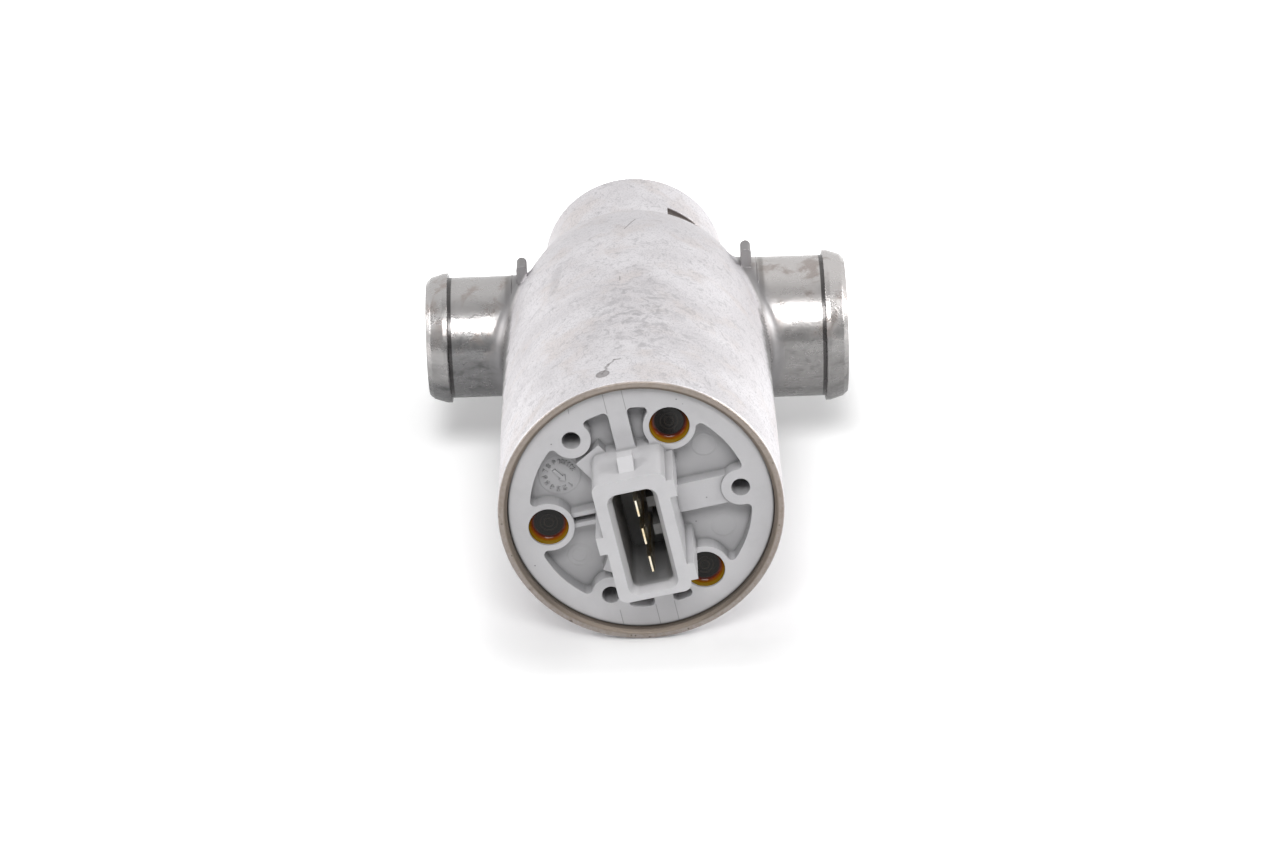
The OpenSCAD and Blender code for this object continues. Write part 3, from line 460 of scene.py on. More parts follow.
        # Painted highlight: a thin pale line on the rim's outer edge.
        bright = sheet.rise(away, 22.72, 22.9)
        turned = sheet.mix(sheet.both(bright, 0.12), turned, self.pale)
        nick = sheet.length(sheet.calc("ADD", x, 12.0), sheet.calc("ADD", z, 19.3))
        turned = sheet.mix(sheet.both(sheet.rise(nick, 0.4, 0.2), 0.8), turned, self.film)
        front = sheet.rise(y, -29.72, -29.86)
        colour = sheet.mix(front, colour, turned)
        bore = sheet.both(sheet.rise(away, 22.2, 21.9), sheet.rise(y, -18.0, -22.0))
        colour = sheet.mix(bore, colour, self.machined_dark)
        # Painted shade: the insides of both stubs' ducts are darkened.
        duct = sheet.both(sheet.rise(stub_off, 10.9, 10.7), sheet.rise(x, 15.0, 16.0))
        small = sheet.both(sheet.rise(stub_off, 9.3, 9.0), sheet.rise(x, -12.0, -14.0))
        colour = sheet.mix(sheet.both(sheet.calc("MAXIMUM", duct, small), 0.8), colour, self.film)

        rough = sheet.between(on_stub, sheet.between(grain, 0.52, 0.64), sheet.between(smears, 0.2, 0.36))
        rough = sheet.between(root, rough, 0.46)
        rough = sheet.between(front, rough, 0.4)
        relief = sheet.bump(grain, sheet.between(on_stub, 0.05, 0.006), sheet.rounded(0.3))
        relief = sheet.bump(stains, sheet.between(on_stub, 0.06, 0.12), relief)
        relief = sheet.bump(rings, sheet.both(front, 0.004), relief)
        return sheet.dress(Base_Color=colour, Metallic=0.85, Roughness=rough, Normal=relief)


@dataclass(frozen=True)
class GreyPlastic:
    """Light grey glass-filled moulding, with painted shade in its hollow socket, its pockets, its
    corners, its sideways walls and the gap at its edge.
    """

    face: Colour = (0.520, 0.515, 0.527)
    shade: Colour = (0.44, 0.436, 0.445)
    # Colour of the painted shade in the pockets.
    pocket: Colour = (0.37, 0.368, 0.375)
    deep: Colour = (0.115, 0.115, 0.117)
    turn: float = 11.0
    pins: tuple[tuple[float, float, float], ...] = (
        (12.0, 7.35, 1.95), (12.0, -7.4, 1.95), (-11.8, -7.35, 1.95), (-11.8, -7.35, 1.2),
        (-11.7, 7.3, 3.4))
    specks: tuple[tuple[float, float], ...] = (
        (-11.39, 14.25), (9.68, 17.42), (-18.94, -6.2), (10.6, -0.78), (7.83, -5.78), (0.0, -8.73))

    def seams(self, sheet: NodeSheet, u: Socket, v: Socket) -> Socket:
        """Gives 1 on the fine lines that the mould's inserts left across the flat ring."""
        bridge = sheet.both(sheet.strip(sheet.calc("ABSOLUTE", u), 1.53, 0.03),
                            sheet.rise(sheet.calc("ABSOLUTE", v), 17.3, 17.6))
        side = sheet.both(sheet.strip(u, -7.4, 0.03), sheet.rise(v, -17.0, -17.3))
        short = sheet.line(u, v, (-7.36, 19.9, -7.44, 18.8), 0.03, 0.06)
        return sheet.calc("MAXIMUM", sheet.calc("MAXIMUM", bridge, side), short)

    def pin_marks(self, sheet: NodeSheet, u: Socket, y: Socket, v: Socket) -> Socket:
        """Gives the shallow round steps that the mould's pins left on the pockets' floors."""
        total = None
        for pin_u, pin_v, r in self.pins:
            off = sheet.length(sheet.calc("SUBTRACT", u, pin_u), sheet.calc("SUBTRACT", v, pin_v))
            mark = sheet.rise(off, r + 0.16, r - 0.16)
            total = mark if total is None else sheet.calc("ADD", total, mark)
        return sheet.both(total, sheet.rise(y, -26.6, -26.2))

    def material(self, name: str = "grey_plastic", edge: float = 0.13) -> bpy.types.Material:
        """Makes the material of the end cover and the marks moulded on it.

        Args:
            name: Name of the material.
            edge: Radius of its rounded edges in millimetres.

        Returns:
            The material.
        """
        sheet = NodeSheet(name)
        place = sheet.place(self.turn)
        u, y, v = sheet.split(place)
        mottle = sheet.noise(place, 0.25, 4.0, 0.55, 0.2)
        grain = sheet.noise(place, 5.0, 2.0, 0.6)
        colour = sheet.mix(sheet.both(sheet.rise(mottle, 0.42, 0.7), 0.35), self.face, self.shade)
        colour = sheet.mix(sheet.both(sheet.rise(grain, 0.5, 0.8), 0.2), colour, self.shade)
        colour = sheet.mix(sheet.both(sheet.specks(place, 0.23, 0.035), 0.6), colour, self.deep)
        # Painted shade: the pockets are darker the deeper they go.
        colour = sheet.mix(sheet.both(sheet.rise(y, -28.3, -26.0), 0.55), colour, self.pocket)
        ahead = sheet.rise(y, -27.4, -27.9)
        colour = sheet.mix(sheet.both(self.seams(sheet, u, v), ahead, 0.55), colour, self.deep)
        for speck_u, speck_v in self.specks:
            off = sheet.length(sheet.calc("SUBTRACT", u, speck_u), sheet.calc("SUBTRACT", v, speck_v))
            colour = sheet.mix(sheet.both(sheet.rise(off, 0.16, 0.08), 0.75), colour, self.deep)
        # Painted shade: the cover's edge, in the gap at the rim, is darkened.
        edge_gap_shade = sheet.both(sheet.rise(sheet.length(u, v), 21.0, 21.25), ahead, 0.7)
        colour = sheet.mix(edge_gap_shade, colour, self.deep)
        # Painted shade: the socket's hollow is darkened.
        side = sheet.rise(sheet.calc("ABSOLUTE", u), 3.6, 3.3)
        tall = sheet.rise(sheet.calc("ABSOLUTE", sheet.calc("ADD", v, 0.7)), 8.6, 8.3)
        hollow = sheet.both(side, tall, sheet.rise(y, -38.9, -36.2))
        colour = sheet.mix(sheet.both(hollow, 0.7), colour, self.deep)
        # Painted shade: walls that face sideways are darker.
        across, _, _ = sheet.lie(self.turn)
        wall = sheet.rise(sheet.calc("ABSOLUTE", across), 0.45, 0.85)
        colour = sheet.mix(sheet.both(wall, 0.28), colour, self.deep)
        # Painted shade: corners are darkened by their occlusion.
        dim = sheet.rise(sheet.corners(0.9), 0.95, 0.45)
        colour = sheet.mix(sheet.both(dim, 0.42), colour, self.deep)
        relief = sheet.bump(grain, 0.008, sheet.rounded(edge))
        relief = sheet.bump(mottle, 0.05, relief)
        relief = sheet.bump(self.pin_marks(sheet, u, y, v), 0.05, relief)
        return sheet.dress(Base_Color=colour, Metallic=0.0, Roughness=0.42, Specular_IOR_Level=0.4,
                           Normal=relief)


@dataclass(frozen=True)
class AmberResin:
    """Glossy resin that is ochre at the well's wall and nearly black over the screw, with painted shade
    on the upper part of each well.
    """

    rim: Colour = (0.26, 0.155, 0.010)
    orange: Colour = (0.24, 0.075, 0.002)
    russet: Colour = (0.13, 0.012, 0.002)
    dark: Colour = (0.006, 0.005, 0.004)
    ring: Colour = (0.020, 0.016, 0.013)

    def material(self, wells: Sequence[Vector]) -> bpy.types.Material:
        """Makes the resin's material.

        Args:
            wells: Middles of the three wells in millimetres.

        Returns:
            The material.
        """
        sheet = NodeSheet("amber_resin")
        x, _, z = sheet.split(sheet.place())
        away, height = None, None
        for well in wells:
            dx, dz = sheet.calc("SUBTRACT", x, well.x), sheet.calc("SUBTRACT", z, well.z)
            off = sheet.length(dx, dz)
            near = sheet.rise(off, 4.2, 4.1)
            lift = sheet.calc("MULTIPLY", near, dz)
            away = off if away is None else sheet.calc("MINIMUM", away, off)
            height = lift if height is None else sheet.calc("ADD", height, lift)
        inner, outer = sheet.strip(away, 0.75, 0.03, 0.12), sheet.strip(away, 1.4, 0.03, 0.12)
        faint = sheet.calc("MAXIMUM", inner, outer)
        colour = sheet.mix(faint, self.dark, self.ring)
        colour = sheet.mix(sheet.rise(away, 2.2, 2.85), colour, self.russet)
        colour = sheet.mix(sheet.rise(away, 2.6, 3.0), colour, self.orange)
        colour = sheet.mix(sheet.rise(away, 2.92, 3.14), colour, self.rim)
        # Painted shade: the upper part of each well is darkened.
        colour = sheet.mix(sheet.calc("MULTIPLY", sheet.rise(height, -0.4, 2.6), 0.82), colour, self.dark)
        ripple = sheet.noise(sheet.place(), 1.2, 3.0, 0.6)
        relief = sheet.bump(ripple, 0.03)
        return sheet.dress(Base_Color=colour, Metallic=0.0, Roughness=0.13, Specular_IOR_Level=0.26,
                           Normal=relief)


@dataclass(frozen=True)
class PlainFinish:
    """Finish of a piece that is one material all over, with fine mottling and grain."""

    name: str
    colour: Colour
    other: Colour
    metallic: float
    roughness: float
    per_mm: float = 0.5
    depth: float = 0.01
    turned: bool = False

    def material(self) -> bpy.types.Material:
        """Makes the material, with rings round the valve's axis on a turned finish."""
        sheet = NodeSheet(self.name)
        place = sheet.rings(sheet.place()) if self.turned else sheet.place()
        mottle = sheet.noise(place, self.per_mm, 4.0, 0.6, 0.3)
        grain = sheet.noise(place, self.per_mm * 8.0, 2.0, 0.6)
        colour = sheet.mix(sheet.rise(mottle, 0.35, 0.68), self.colour, self.other)
        rough = sheet.between(mottle, self.roughness * 0.8, min(1.0, self.roughness * 1.25))
        return sheet.dress(Base_Color=colour, Metallic=self.metallic, Roughness=rough,
                           Normal=sheet.bump(grain, self.depth))


def new_piece(name: str, points: Sequence[Vector], faces: Sequence[Sequence[int]],
              material: bpy.types.Material, smooth: bool = True) -> bpy.types.Object:
    """Makes a mesh piece that rides on the valve's body.

    Args:
        name: Name of the piece.
        points: Its points in millimetres, in the valve's frame.
        faces: Its faces as lists of point numbers.
        material: Its material.
        smooth: Whether it is shaded smooth.

    Returns:
        The piece.
    """
    mesh = bpy.data.meshes.new(name)
    mesh.from_pydata([p * MM for p in points], [], [list(f) for f in faces])
    mesh.polygons.foreach_set("use_smooth", [smooth] * len(mesh.polygons))
    mesh.materials.append(material)
    mesh.validate()
    piece = bpy.data.objects.new(name, mesh)
    bpy.context.scene.collection.objects.link(piece)
    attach(piece, Body.VALVE.value)
    LOG.info("%s: %d faces", name, len(mesh.polygons))
    return piece


def grid_faces(rows: int, columns: int, closed: bool = False) -> list[list[int]]:
    """Gives the faces of a grid of points, row after row.

    Args:
        rows: Number of rows.
        columns: Number of points in a row.
        closed: Whether the last column joins the first.

    Returns:
        The faces.
    """
    last = columns if closed else columns - 1
    return [[r * columns + c, r * columns + (c + 1) % columns, (r + 1) * columns + (c + 1) % columns,
             (r + 1) * columns + c] for r in range(rows - 1) for c in range(last)]


@dataclass
class CastHousing:
    """The casting, with the rolled fillets at the roots of both hose stubs."""

    body_r: float = 23.0
    step_y: float = 48.5
    step_run: float = 3.6
    narrow_from: float = 27.7
    narrow_by: float = 2.4
    rear_r: float = 16.2
    stub_y: float = 41.8
    small_r: float = 10.6
    large_r: float = 12.4
    fillet_r: float = 2.9
    ridge_x: float = 21.5
    ridge_h: float = 0.13
    turns: int = 144
    steps: int = 12

    def skin(self, y: float) -> float:
        """Gives the body's radius at a distance along its axis."""
        share = max(0.0, min(1.04, (y - self.narrow_from) / 20.0))
        front = self.body_r - self.narrow_by * share * share
        over = max(0.0, min(1.0, (y - self.step_y + 0.4) / self.step_run))
        return front + (self.rear_r - front) * over * over * (3.0 - 2.0 * over)

    def side(self, y: float, z: float) -> float:
        """Gives the half width of the body at a height, or none of it outside the body."""
        r = self.skin(y)
        return math.sqrt(r * r - z * z) if abs(z) < r else 0.0

    def fillet_points(self, r: float, sign: float) -> list[Vector]:
        """Gives the fillet's points, one row for each direction round the stub.

        Args:
            r: Radius of the stub.
            sign: Side of the body that the stub is on.

        Returns:
            The points in millimetres.
        """
        rows: list[Vector] = []
        middle = r + self.fillet_r
        for k in range(self.turns):
            a = 2.0 * math.pi * k / self.turns
            cy, cz = math.cos(a), math.sin(a)
            best, touch = -1.0, middle
            for s in range(61):
                rho = r + 2.0 * self.fillet_r * s / 60.0
                gap = self.fillet_r ** 2 - (rho - middle) ** 2
                out = self.side(self.stub_y + rho * cy, rho * cz) + math.sqrt(max(gap, 0.0))
                if out > best:
                    best, touch = out, rho
            end = math.asin(max(-1.0, min(1.0, (touch - middle) / self.fillet_r)))
            for s in range(self.steps + 1):
                t = -0.5 * math.pi + (end + 0.5 * math.pi) * s / self.steps
                rho = middle + self.fillet_r * math.sin(t)
                x = best - self.fillet_r * math.cos(t)
                sink = 0.03 if s in (0, self.steps) else 0.0
                rho = rho - sink if s == 0 else rho
                x = x - sink if s == self.steps else x
                rows.append(Vector((sign * x, self.stub_y + rho * cy, rho * cz)))
        return rows

    def fillet(self, name: str, r: float, sign: float, material: bpy.types.Material) -> bpy.types.Object:
        """Makes the fillet between the body and one stub."""
        points = self.fillet_points(r, sign)
        columns = self.steps + 1
        faces = grid_faces(self.turns + 1, columns)
        total = self.turns * columns
        faces = [[i % total for i in face] for face in faces]
        if sign > 0:
            faces = [face[::-1] for face in faces]
        return new_piece(name, points, faces, material)

    def ridge(self, name: str, r: float, sign: float, material: bpy.types.Material) -> bpy.types.Object:
        """Makes the thin flash that the mould left over the top of one stub."""
        count = 40
        points: list[Vector] = []
        for k in range(count + 1):
            a = math.radians(62.0 + 56.0 * k / count)
            tall = self.ridge_h * math.sin(math.pi * k / count) ** 0.5
            for across, up in ((-0.16, -0.03), (-0.05, tall), (0.05, tall), (0.16, -0.03)):
                reach, rho = self.ridge_x + across, r + 0.04 + up
                points.append(Vector((sign * reach, self.stub_y - rho * math.cos(a), rho * math.sin(a))))
        faces = grid_faces(count + 1, 4, closed=True)
        if sign < 0:
            faces = [face[::-1] for face in faces]
        return new_piece(name, points, faces, material)

    def build(self) -> None:
        """Dresses the casting and adds both fillets and both ridges of flash."""
        cast = CastAluminium().material()
        paint("housing", cast)
        for name, r, sign in (("small_stub", self.small_r, -1.0), ("large_stub", self.large_r, 1.0)):
            self.fillet(name + "_fillet", r, sign, cast)
            self.ridge(name + "_flash", r, sign, cast)


@dataclass
class EndCover:
    """The grey moulding, with the resin in its wells."""

    turn: float = 11.0
    face_y: float = -28.5
    screw_ring: float = 15.2
    skirt_depth: float = 5.6
    depth: float = 1.85
    edge_depth: float = 0.35
    flat_r: float = 2.3

    def place(self, u: float, v: float, ahead: float) -> Vector:
        """Gives a point of the turned cover in the valve's frame, in millimetres.

        Args:
            u: Distance to the right of the axis, along the turned cover.
            v: Distance above the axis, along the turned cover.
            ahead: Distance ahead of the cover's face.

        Returns:
            The point.
        """
        c, s = math.cos(math.radians(self.turn)), math.sin(math.radians(self.turn))
        return Vector((u * c - v * s, self.face_y - ahead, u * s + v * c))

    def wells(self) -> list[tuple[float, float]]:
        """Gives the middles of the three wells on the turned cover."""
        return [(self.screw_ring * math.cos(math.radians(a)), self.screw_ring * math.sin(math.radians(a)))
                for a in (60.0, 180.0, 300.0)]

    def resin(self) -> None:
        """Makes the resin with its meniscus in all three wells."""
        points: list[Vector] = []
        faces: list[list[int]] = []
        radii = [0.02, 0.8, 1.6, 2.2, 2.3, 2.42, 2.54, 2.66, 2.8, 2.92, 3.02, 3.1, 3.16, 3.2,
                 3.225, 3.235]
        outer = radii[-1] + 0.002
        columns = 64
        for u, v in self.wells():
            base = len(points)
            for r in radii:
                t = max(0.0, (r - self.flat_r) / (outer - self.flat_r))
                low = self.depth - (self.depth - self.edge_depth) * (1.0 - math.sqrt(1.0 - t * t))
                for k in range(columns):
                    a = 2.0 * math.pi * k / columns
                    points.append(self.place(u + r * math.cos(a), v + r * math.sin(a), -low))
            rows = grid_faces(len(radii), columns, closed=True)
            faces += [[base + i for i in face] for face in rows]
            faces.append([base + k for k in range(columns)][::-1])
            skirt = len(points)
            for k in range(columns):
                a = 2.0 * math.pi * k / columns
                across, up = radii[-1] * math.cos(a), radii[-1] * math.sin(a)
                points.append(self.place(u + across, v + up, -self.skirt_depth))
            edge = skirt - columns
            faces += [[edge + k, edge + (k + 1) % columns, skirt + (k + 1) % columns, skirt + k]
                      for k in range(columns)]
            faces.append([skirt + k for k in range(columns)])
        middles = [self.place(u, v, 0.0) for u, v in self.wells()]
        resin = new_piece("well_resin", points, faces, AmberResin().material(middles))
        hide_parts("screw_sealant")

    def build(self) -> None:
        """Dresses the cover, fills its wells and adds the marks on its pockets' floors."""
        plastic = GreyPlastic().material()
        paint("end_cover", plastic)
        self.resin()
        PocketMarks(self).build(GreyPlastic().material("grey_plastic_marks", 0.03))


@dataclass
class PocketMarks:
    """Raised dial with plain numbers and an arrow on the floor of one of the cover's pockets."""

    cover: EndCover
    floor: float = -3.0
    height: float = 0.13
    stroke_w: float = 0.2
    shaft_half: float = 0.24
    head_half: float = 0.66
    head_l: float = 0.9
    dial: tuple[float, float] = (-11.7, 7.3)
    dial_r: float = 2.4
    digit_h: float = 0.68
    digits: dict[str, tuple[tuple[float, float], ...]] = field(default_factory=lambda: {
        "0": ((0.3, 0.0), (0.6, 0.25), (0.6, 0.75), (0.3, 1.0), (0.0, 0.75), (0.0, 0.25), (0.3, 0.0)),
        "1": ((0.1, 0.75), (0.35, 1.0), (0.35, 0.0)),
        "2": ((0.0, 0.8), (0.3, 1.0), (0.6, 0.75), (0.0, 0.0), (0.6, 0.0)),
        "3": ((0.0, 1.0), (0.55, 1.0), (0.25, 0.6), (0.6, 0.3), (0.3, 0.0), (0.0, 0.1)),
        "4": ((0.45, 0.0), (0.45, 1.0), (0.0, 0.3), (0.6, 0.3)),
        "5": ((0.55, 1.0), (0.05, 1.0), (0.05, 0.55), (0.5, 0.55), (0.6, 0.25), (0.3, 0.0), (0.0, 0.1)),
        "6": ((0.5, 1.0), (0.05, 0.45), (0.1, 0.05), (0.45, 0.0), (0.6, 0.3), (0.35, 0.5), (0.05, 0.4)),
        "7": ((0.0, 1.0), (0.6, 1.0), (0.2, 0.0)),
        "8": ((0.3, 0.55), (0.05, 0.8), (0.3, 1.0), (0.55, 0.8), (0.3, 0.55), (0.0, 0.25), (0.3, 0.0),
              (0.6, 0.25), (0.3, 0.55)),
        "9": ((0.1, 0.0), (0.55, 0.55), (0.5, 0.95), (0.15, 1.0), (0.0, 0.7), (0.25, 0.5), (0.55, 0.6)),
    })

    def stroke(self, start: tuple[float, float], end: tuple[float, float], width: float,
               height: float) -> tuple[list[Vector], list[list[int]]]:
        """Makes one raised stroke with sloping sides.

        Args:
            start: Its start on the turned cover, in millimetres.
            end: Its end.
            width: Its width at the floor.
            height: Its height over the floor.

        Returns:
            Its points and faces.
        """
        du, dv = end[0] - start[0], end[1] - start[1]
        span = math.hypot(du, dv)
        au, av = du / span, dv / span
        points: list[Vector] = []
        for half, lift in ((0.5 * width, -0.02), (0.28 * width, height)):
            for (u, v), way in ((start, -1.0), (end, 1.0)):
                for side in (-1.0, 1.0):
                    points.append(self.cover.place(u + way * half * au - side * half * av,
                                                   v + way * half * av + side * half * au,
                                                   self.floor + lift))
        faces = [[0, 1, 3, 2], [4, 6, 7, 5], [0, 2, 6, 4], [1, 5, 7, 3], [0, 4, 5, 1], [2, 3, 7, 6]]
        return points, faces

    def arrow(self, tail: tuple[float, float], tip: tuple[float, float]) -> tuple[
            list[Vector], list[list[int]]]:
        """Makes the raised arrow in the middle of the dial.

        Args:
            tail: Its tail on the turned cover, in millimetres.
            tip: Its tip.

        Returns:
            Its points and faces.
        """
        span = math.hypot(tip[0] - tail[0], tip[1] - tail[1])
        au, av = (tip[0] - tail[0]) / span, (tip[1] - tail[1]) / span
        shaft, head, neck = self.shaft_half, self.head_half, span - self.head_l
        outline = ((0.0, -shaft), (neck, -shaft), (neck, -head), (span, 0.0), (neck, head),
                   (neck, shaft), (0.0, shaft))
        points: list[Vector] = []
        for grow, lift in ((0.1, -0.02), (0.0, 2.0 * self.height)):
            for along, side in outline:
                along += grow * (1.0 if along > 0.5 * span else -1.0)
                side += grow * (0.0 if side == 0.0 else math.copysign(1.0, side))
                points.append(self.cover.place(tail[0] + along * au - side * av,
                                               tail[1] + along * av + side * au, self.floor + lift))
        count = len(outline)
        faces = [[k, k + count, (k + 1) % count + count, (k + 1) % count] for k in range(count)]
        faces += [[count + k for k in (0, 6, 5, 1)], [count + k for k in (2, 1, 5, 4, 3)]]
        faces += [[0, 1, 5, 6], [2, 3, 4, 5, 1]]
        return points, faces

    def number(self, hour: int) -> list[tuple[tuple[float, float], tuple[float, float]]]:
        """Gives the strokes of one number on the dial, with its foot towards the middle."""
        angle = math.radians(22.0 + (12 - hour) * 25.6)
        text = str(hour)
        scale = self.digit_h
        wide = len(text) * 0.85 - 0.25
        strokes = []
        for place, digit in enumerate(text):
            spots = []
            for a, b in self.digits[digit]:
                across = (a + place * 0.85 - 0.5 * wide) * scale
                out = self.dial_r + (b - 0.5) * scale
                spots.append((self.dial[0] + out * math.cos(angle) + across * math.sin(angle),
                              self.dial[1] + out * math.sin(angle) - across * math.cos(angle)))
            strokes += list(zip(spots, spots[1:]))
        return strokes

    def build(self, material: bpy.types.Material) -> None:
        """Makes all the marks as one piece.

        Args:
            material: The cover's material.
        """
        points, faces = self.arrow((-12.4, 8.35), (-10.95, 6.15))
        for hour in range(1, 13):
            for start, end in self.number(hour):
                spots, sides = self.stroke(start, end, self.stroke_w, self.height)
                faces += [[len(points) + i for i in side] for side in sides]
                points += spots
        marks = new_piece("pocket_marks", points, faces, material, smooth=False)


def paint(node: str, material: bpy.types.Material) -> None:
    """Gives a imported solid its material."""
    piece = frame["nodes"][node]
    piece.data.materials.clear()
    piece.data.materials.append(material)
    LOG.info("%s: %s", node, material.name)


@dataclass
class InnerWorks:
    """Motor, bearings, slide and rear closure, which take one finish each."""

    finishes: dict[str, PlainFinish] = field(default_factory=lambda: {
        "black_rubber": PlainFinish("black_rubber", (0.02, 0.02, 0.02), (0.035, 0.034, 0.033), 0.0, 0.6),
        "dark_steel": PlainFinish("dark_steel", (0.10, 0.09, 0.08), (0.16, 0.14, 0.12), 0.8, 0.4),
        "bright_steel": PlainFinish("bright_steel", (0.58, 0.58, 0.60), (0.48, 0.47, 0.47), 1.0, 0.25),
        "blade_brass": PlainFinish("blade_brass", (0.90, 0.84, 0.70), (0.82, 0.68, 0.44), 1.0, 0.24),
        "black_plastic": PlainFinish("black_plastic", (0.035, 0.035, 0.04), (0.06, 0.06, 0.06), 0.0,
                                     0.45),
        "brown_plastic": PlainFinish("brown_plastic", (0.12, 0.05, 0.03), (0.17, 0.08, 0.04), 0.0, 0.4),
        "carbon": PlainFinish("carbon", (0.03, 0.03, 0.03), (0.05, 0.05, 0.05), 0.1, 0.5, 2.0),
        "ferrite": PlainFinish("ferrite", (0.07, 0.07, 0.075), (0.11, 0.10, 0.10), 0.3, 0.55),
        "copper": PlainFinish("copper", (0.62, 0.28, 0.12), (0.50, 0.20, 0.08), 0.9, 0.3, 1.0),
        "slide_bronze": PlainFinish("slide_bronze", (0.45, 0.40, 0.30), (0.33, 0.28, 0.20), 0.9, 0.38),
        "turned_aluminium": PlainFinish("turned_aluminium", (0.66, 0.66, 0.67), (0.56, 0.555, 0.555),
                                        0.9, 0.35, 1.6, turned=True),
    })

    def build(self) -> None:
        """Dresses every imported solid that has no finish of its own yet."""
        made = {slot: finish.material() for slot, finish in self.finishes.items()}
        for part in frame["record"]["subparts"]:
            if part["material_slot"] in made:
                paint(part["node"], made[part["material_slot"]])


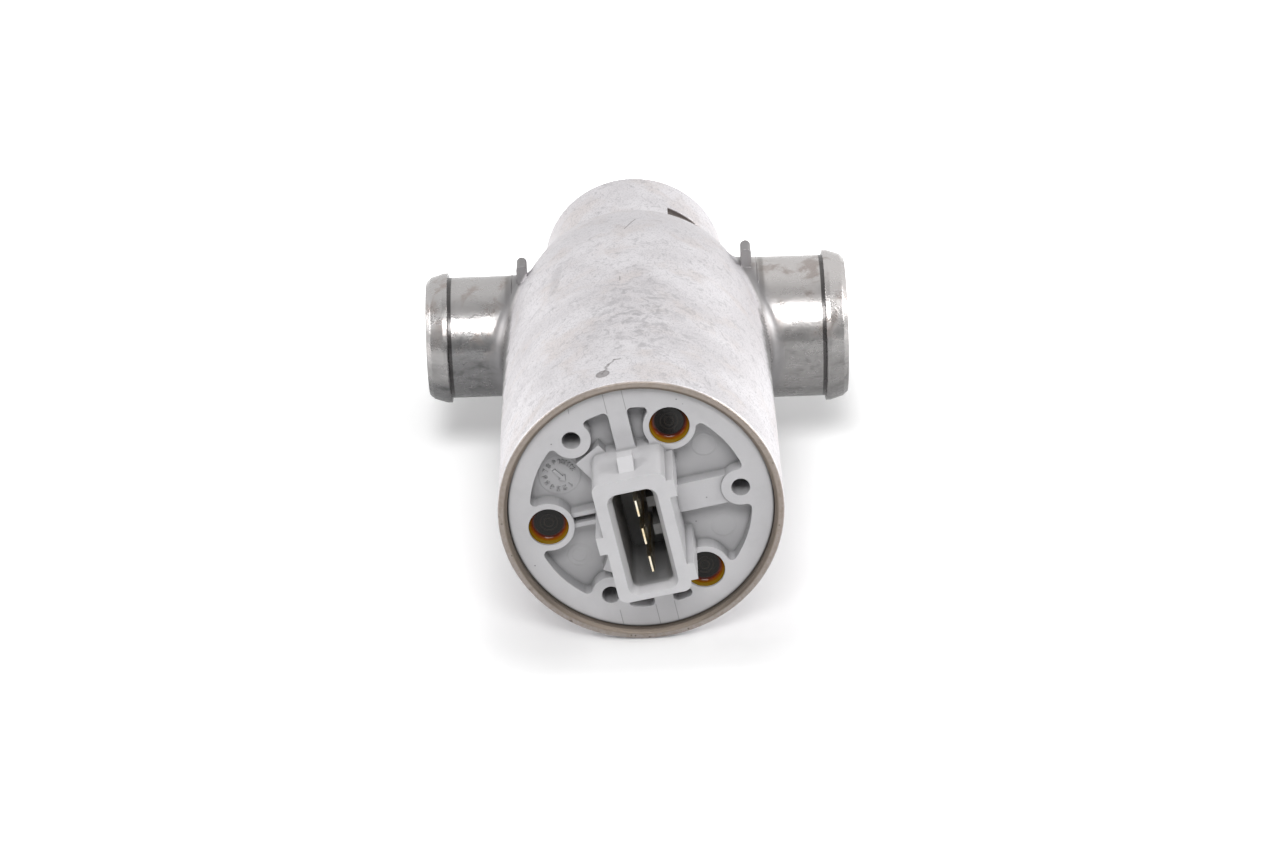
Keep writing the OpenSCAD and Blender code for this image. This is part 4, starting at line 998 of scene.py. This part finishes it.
@dataclass
class Studio:
    """Pale floor, white surround, soft lamps and the camera."""

    eye: Colour = (0.002026, -0.603056, 0.283731)
    right: Colour = (0.9994, -0.01223, -0.03248)
    down: Colour = (-0.0346, -0.42392, -0.90504)
    ahead: Colour = (-0.0027, 0.90562, -0.42408)
    lens: float = 112.5
    floor_z: float = -0.023

    def camera(self) -> None:
        """Sets the camera at the photograph's viewing angle."""
        data = bpy.data.cameras.new("camera")
        data.lens = self.lens
        data.sensor_width = 36.0
        data.clip_start, data.clip_end = 0.05, 20.0
        camera = bpy.data.objects.new("camera", data)
        axes = Matrix((self.right, [-v for v in self.down], [-v for v in self.ahead])).transposed()
        camera.matrix_world = Matrix.Translation(self.eye) @ axes.to_4x4()
        bpy.context.scene.collection.objects.link(camera)
        bpy.context.scene.camera = camera

    def seen(self, tree: bpy.types.NodeTree) -> Socket:
        """Gives 1 on camera, glossy and transmission rays."""
        path = tree.nodes.new("ShaderNodeLightPath")
        total = path.outputs["Is Camera Ray"]
        for name in ("Is Glossy Ray", "Is Transmission Ray"):
            add = tree.nodes.new("ShaderNodeMath")
            add.operation = "MAXIMUM"
            tree.links.new(total, add.inputs[0])
            tree.links.new(path.outputs[name], add.inputs[1])
            total = add.outputs[0]
        return total

    def surround(self) -> None:
        """Makes the white surround, which is darker ahead of the object for metal."""
        world = bpy.data.worlds.new("surround")
        world.use_nodes = True
        bpy.context.scene.world = world
        tree = world.node_tree
        tree.nodes.clear()
        output = tree.nodes.new("ShaderNodeOutputWorld")
        coords = tree.nodes.new("ShaderNodeTexCoord")
        parts = tree.nodes.new("ShaderNodeSeparateXYZ")
        tree.links.new(coords.outputs["Generated"], parts.inputs[0])
        depth = tree.nodes.new("ShaderNodeMapRange")
        depth.interpolation_type = "SMOOTHSTEP"
        tree.links.new(parts.outputs[1], depth.inputs["Value"])
        for name, value in (("From Min", -0.35), ("From Max", 0.45), ("To Min", 0.34), ("To Max", 1.0)):
            depth.inputs[name].default_value = value
        path = tree.nodes.new("ShaderNodeLightPath")
        plain = tree.nodes.new("ShaderNodeBackground")
        plain.inputs["Strength"].default_value = 0.4
        shown = tree.nodes.new("ShaderNodeBackground")
        tree.links.new(depth.outputs[0], shown.inputs["Strength"])
        white = tree.nodes.new("ShaderNodeBackground")
        first = tree.nodes.new("ShaderNodeMixShader")
        tree.links.new(self.seen(tree), first.inputs[0])
        tree.links.new(plain.outputs[0], first.inputs[1])
        tree.links.new(shown.outputs[0], first.inputs[2])
        second = tree.nodes.new("ShaderNodeMixShader")
        tree.links.new(path.outputs["Is Camera Ray"], second.inputs[0])
        tree.links.new(first.outputs[0], second.inputs[1])
        tree.links.new(white.outputs[0], second.inputs[2])
        tree.links.new(second.outputs[0], output.inputs["Surface"])

    def floor(self) -> None:
        """Makes the floor, which reads as white and keeps the object's shadow, with its glow weaker near
        the object and weaker still in painted shadows behind the stubs, beside the body and ahead of the
        rim.
        """
        mesh = bpy.data.meshes.new("floor")
        half_w, z, edge = 6.0, self.floor_z, -0.33
        corners = [(-half_w, edge, z), (half_w, edge, z), (half_w, half_w, z), (-half_w, half_w, z)]
        mesh.from_pydata(corners, [], [[0, 1, 2, 3]])
        floor = bpy.data.objects.new("floor", mesh)
        bpy.context.scene.collection.objects.link(floor)
        sheet = NodeSheet("floor")
        tree = sheet.tree
        sheet.dress(Base_Color=(0.785, 0.785, 0.785), Roughness=0.35, Specular_IOR_Level=0.3,
                    Emission_Color=(1.0, 1.0, 1.0))
        # Painted shadow: the floor's glow is weaker near the object, and weaker still behind the stubs,
        # beside the body and ahead of the rim.
        x, y, _ = sheet.split(sheet.place())
        reach = sheet.calc("ABSOLUTE", sheet.calc("SUBTRACT", x, 1.0))
        far = sheet.rise(sheet.length(x, sheet.calc("SUBTRACT", y, 20.0)), 52.0, 155.0)
        behind = sheet.both(sheet.rise(y, 40.0, 55.0), sheet.rise(y, 90.0, 74.0))
        behind = sheet.both(sheet.rise(reach, 41.0, 34.0), behind)
        flank = sheet.both(sheet.rise(reach, 36.0, 22.0), sheet.rise(y, 84.0, 66.0))
        front = sheet.both(sheet.rise(reach, 30.0, 14.0), sheet.rise(y, -46.0, -38.0))
        near = 0.36
        for share, loss in ((behind, 0.85), (flank, 0.6), (front, 0.95)):
            near = sheet.both(near, sheet.calc("SUBTRACT", 1.0, sheet.both(share, loss)))
        camera_ray = tree.nodes.new("ShaderNodeLightPath").outputs["Is Camera Ray"]
        seen_far = sheet.both(self.seen(tree), far, 0.55)
        glow = sheet.both(camera_ray, sheet.calc("ADD", near, sheet.both(far, 0.65)))
        glow = sheet.calc("ADD", glow, seen_far)
        sheet.put(sheet.shader.inputs["Emission Strength"], glow)
        mesh.materials.append(sheet.material)

    def lamp(self, name: str, place: Colour, size: tuple[float, float], watts: float) -> None:
        """Sets one soft lamp that faces the object.

        Args:
            name: Name of the lamp.
            place: Its place in metres.
            size: Its width and height in metres.
            watts: Its power.
        """
        data = bpy.data.lights.new(name, "AREA")
        data.shape = "RECTANGLE"
        data.size, data.size_y = size
        data.energy = watts
        lamp = bpy.data.objects.new(name, data)
        lamp.location = place
        aim = Vector((0.0, 0.01, 0.0)) - Vector(place)
        lamp.rotation_euler = aim.to_track_quat("-Z", "Y").to_euler()
        lamp.visible_camera = False
        bpy.context.scene.collection.objects.link(lamp)

    def build(self) -> None:
        """Sets up the whole studio."""
        scene = bpy.context.scene
        scene.view_settings.view_transform = "Standard"
        self.camera()
        self.surround()
        self.floor()
        self.lamp("front_lamp", (0.0, -0.9, 0.95), (0.75, 0.42), 9.5)
        self.lamp("left_lamp", (-1.1, -0.15, 0.6), (0.7, 0.6), 7.0)
        self.lamp("right_lamp", (1.1, -0.15, 0.6), (0.7, 0.6), 11.0)


def main() -> None:
    """Builds the sub-assemblies in order."""
    logging.basicConfig(level=logging.INFO, format="%(message)s")
    InnerWorks().build()
    CastHousing().build()
    EndCover().build()
    Studio().build()


if __name__ == "__main__":
    main()
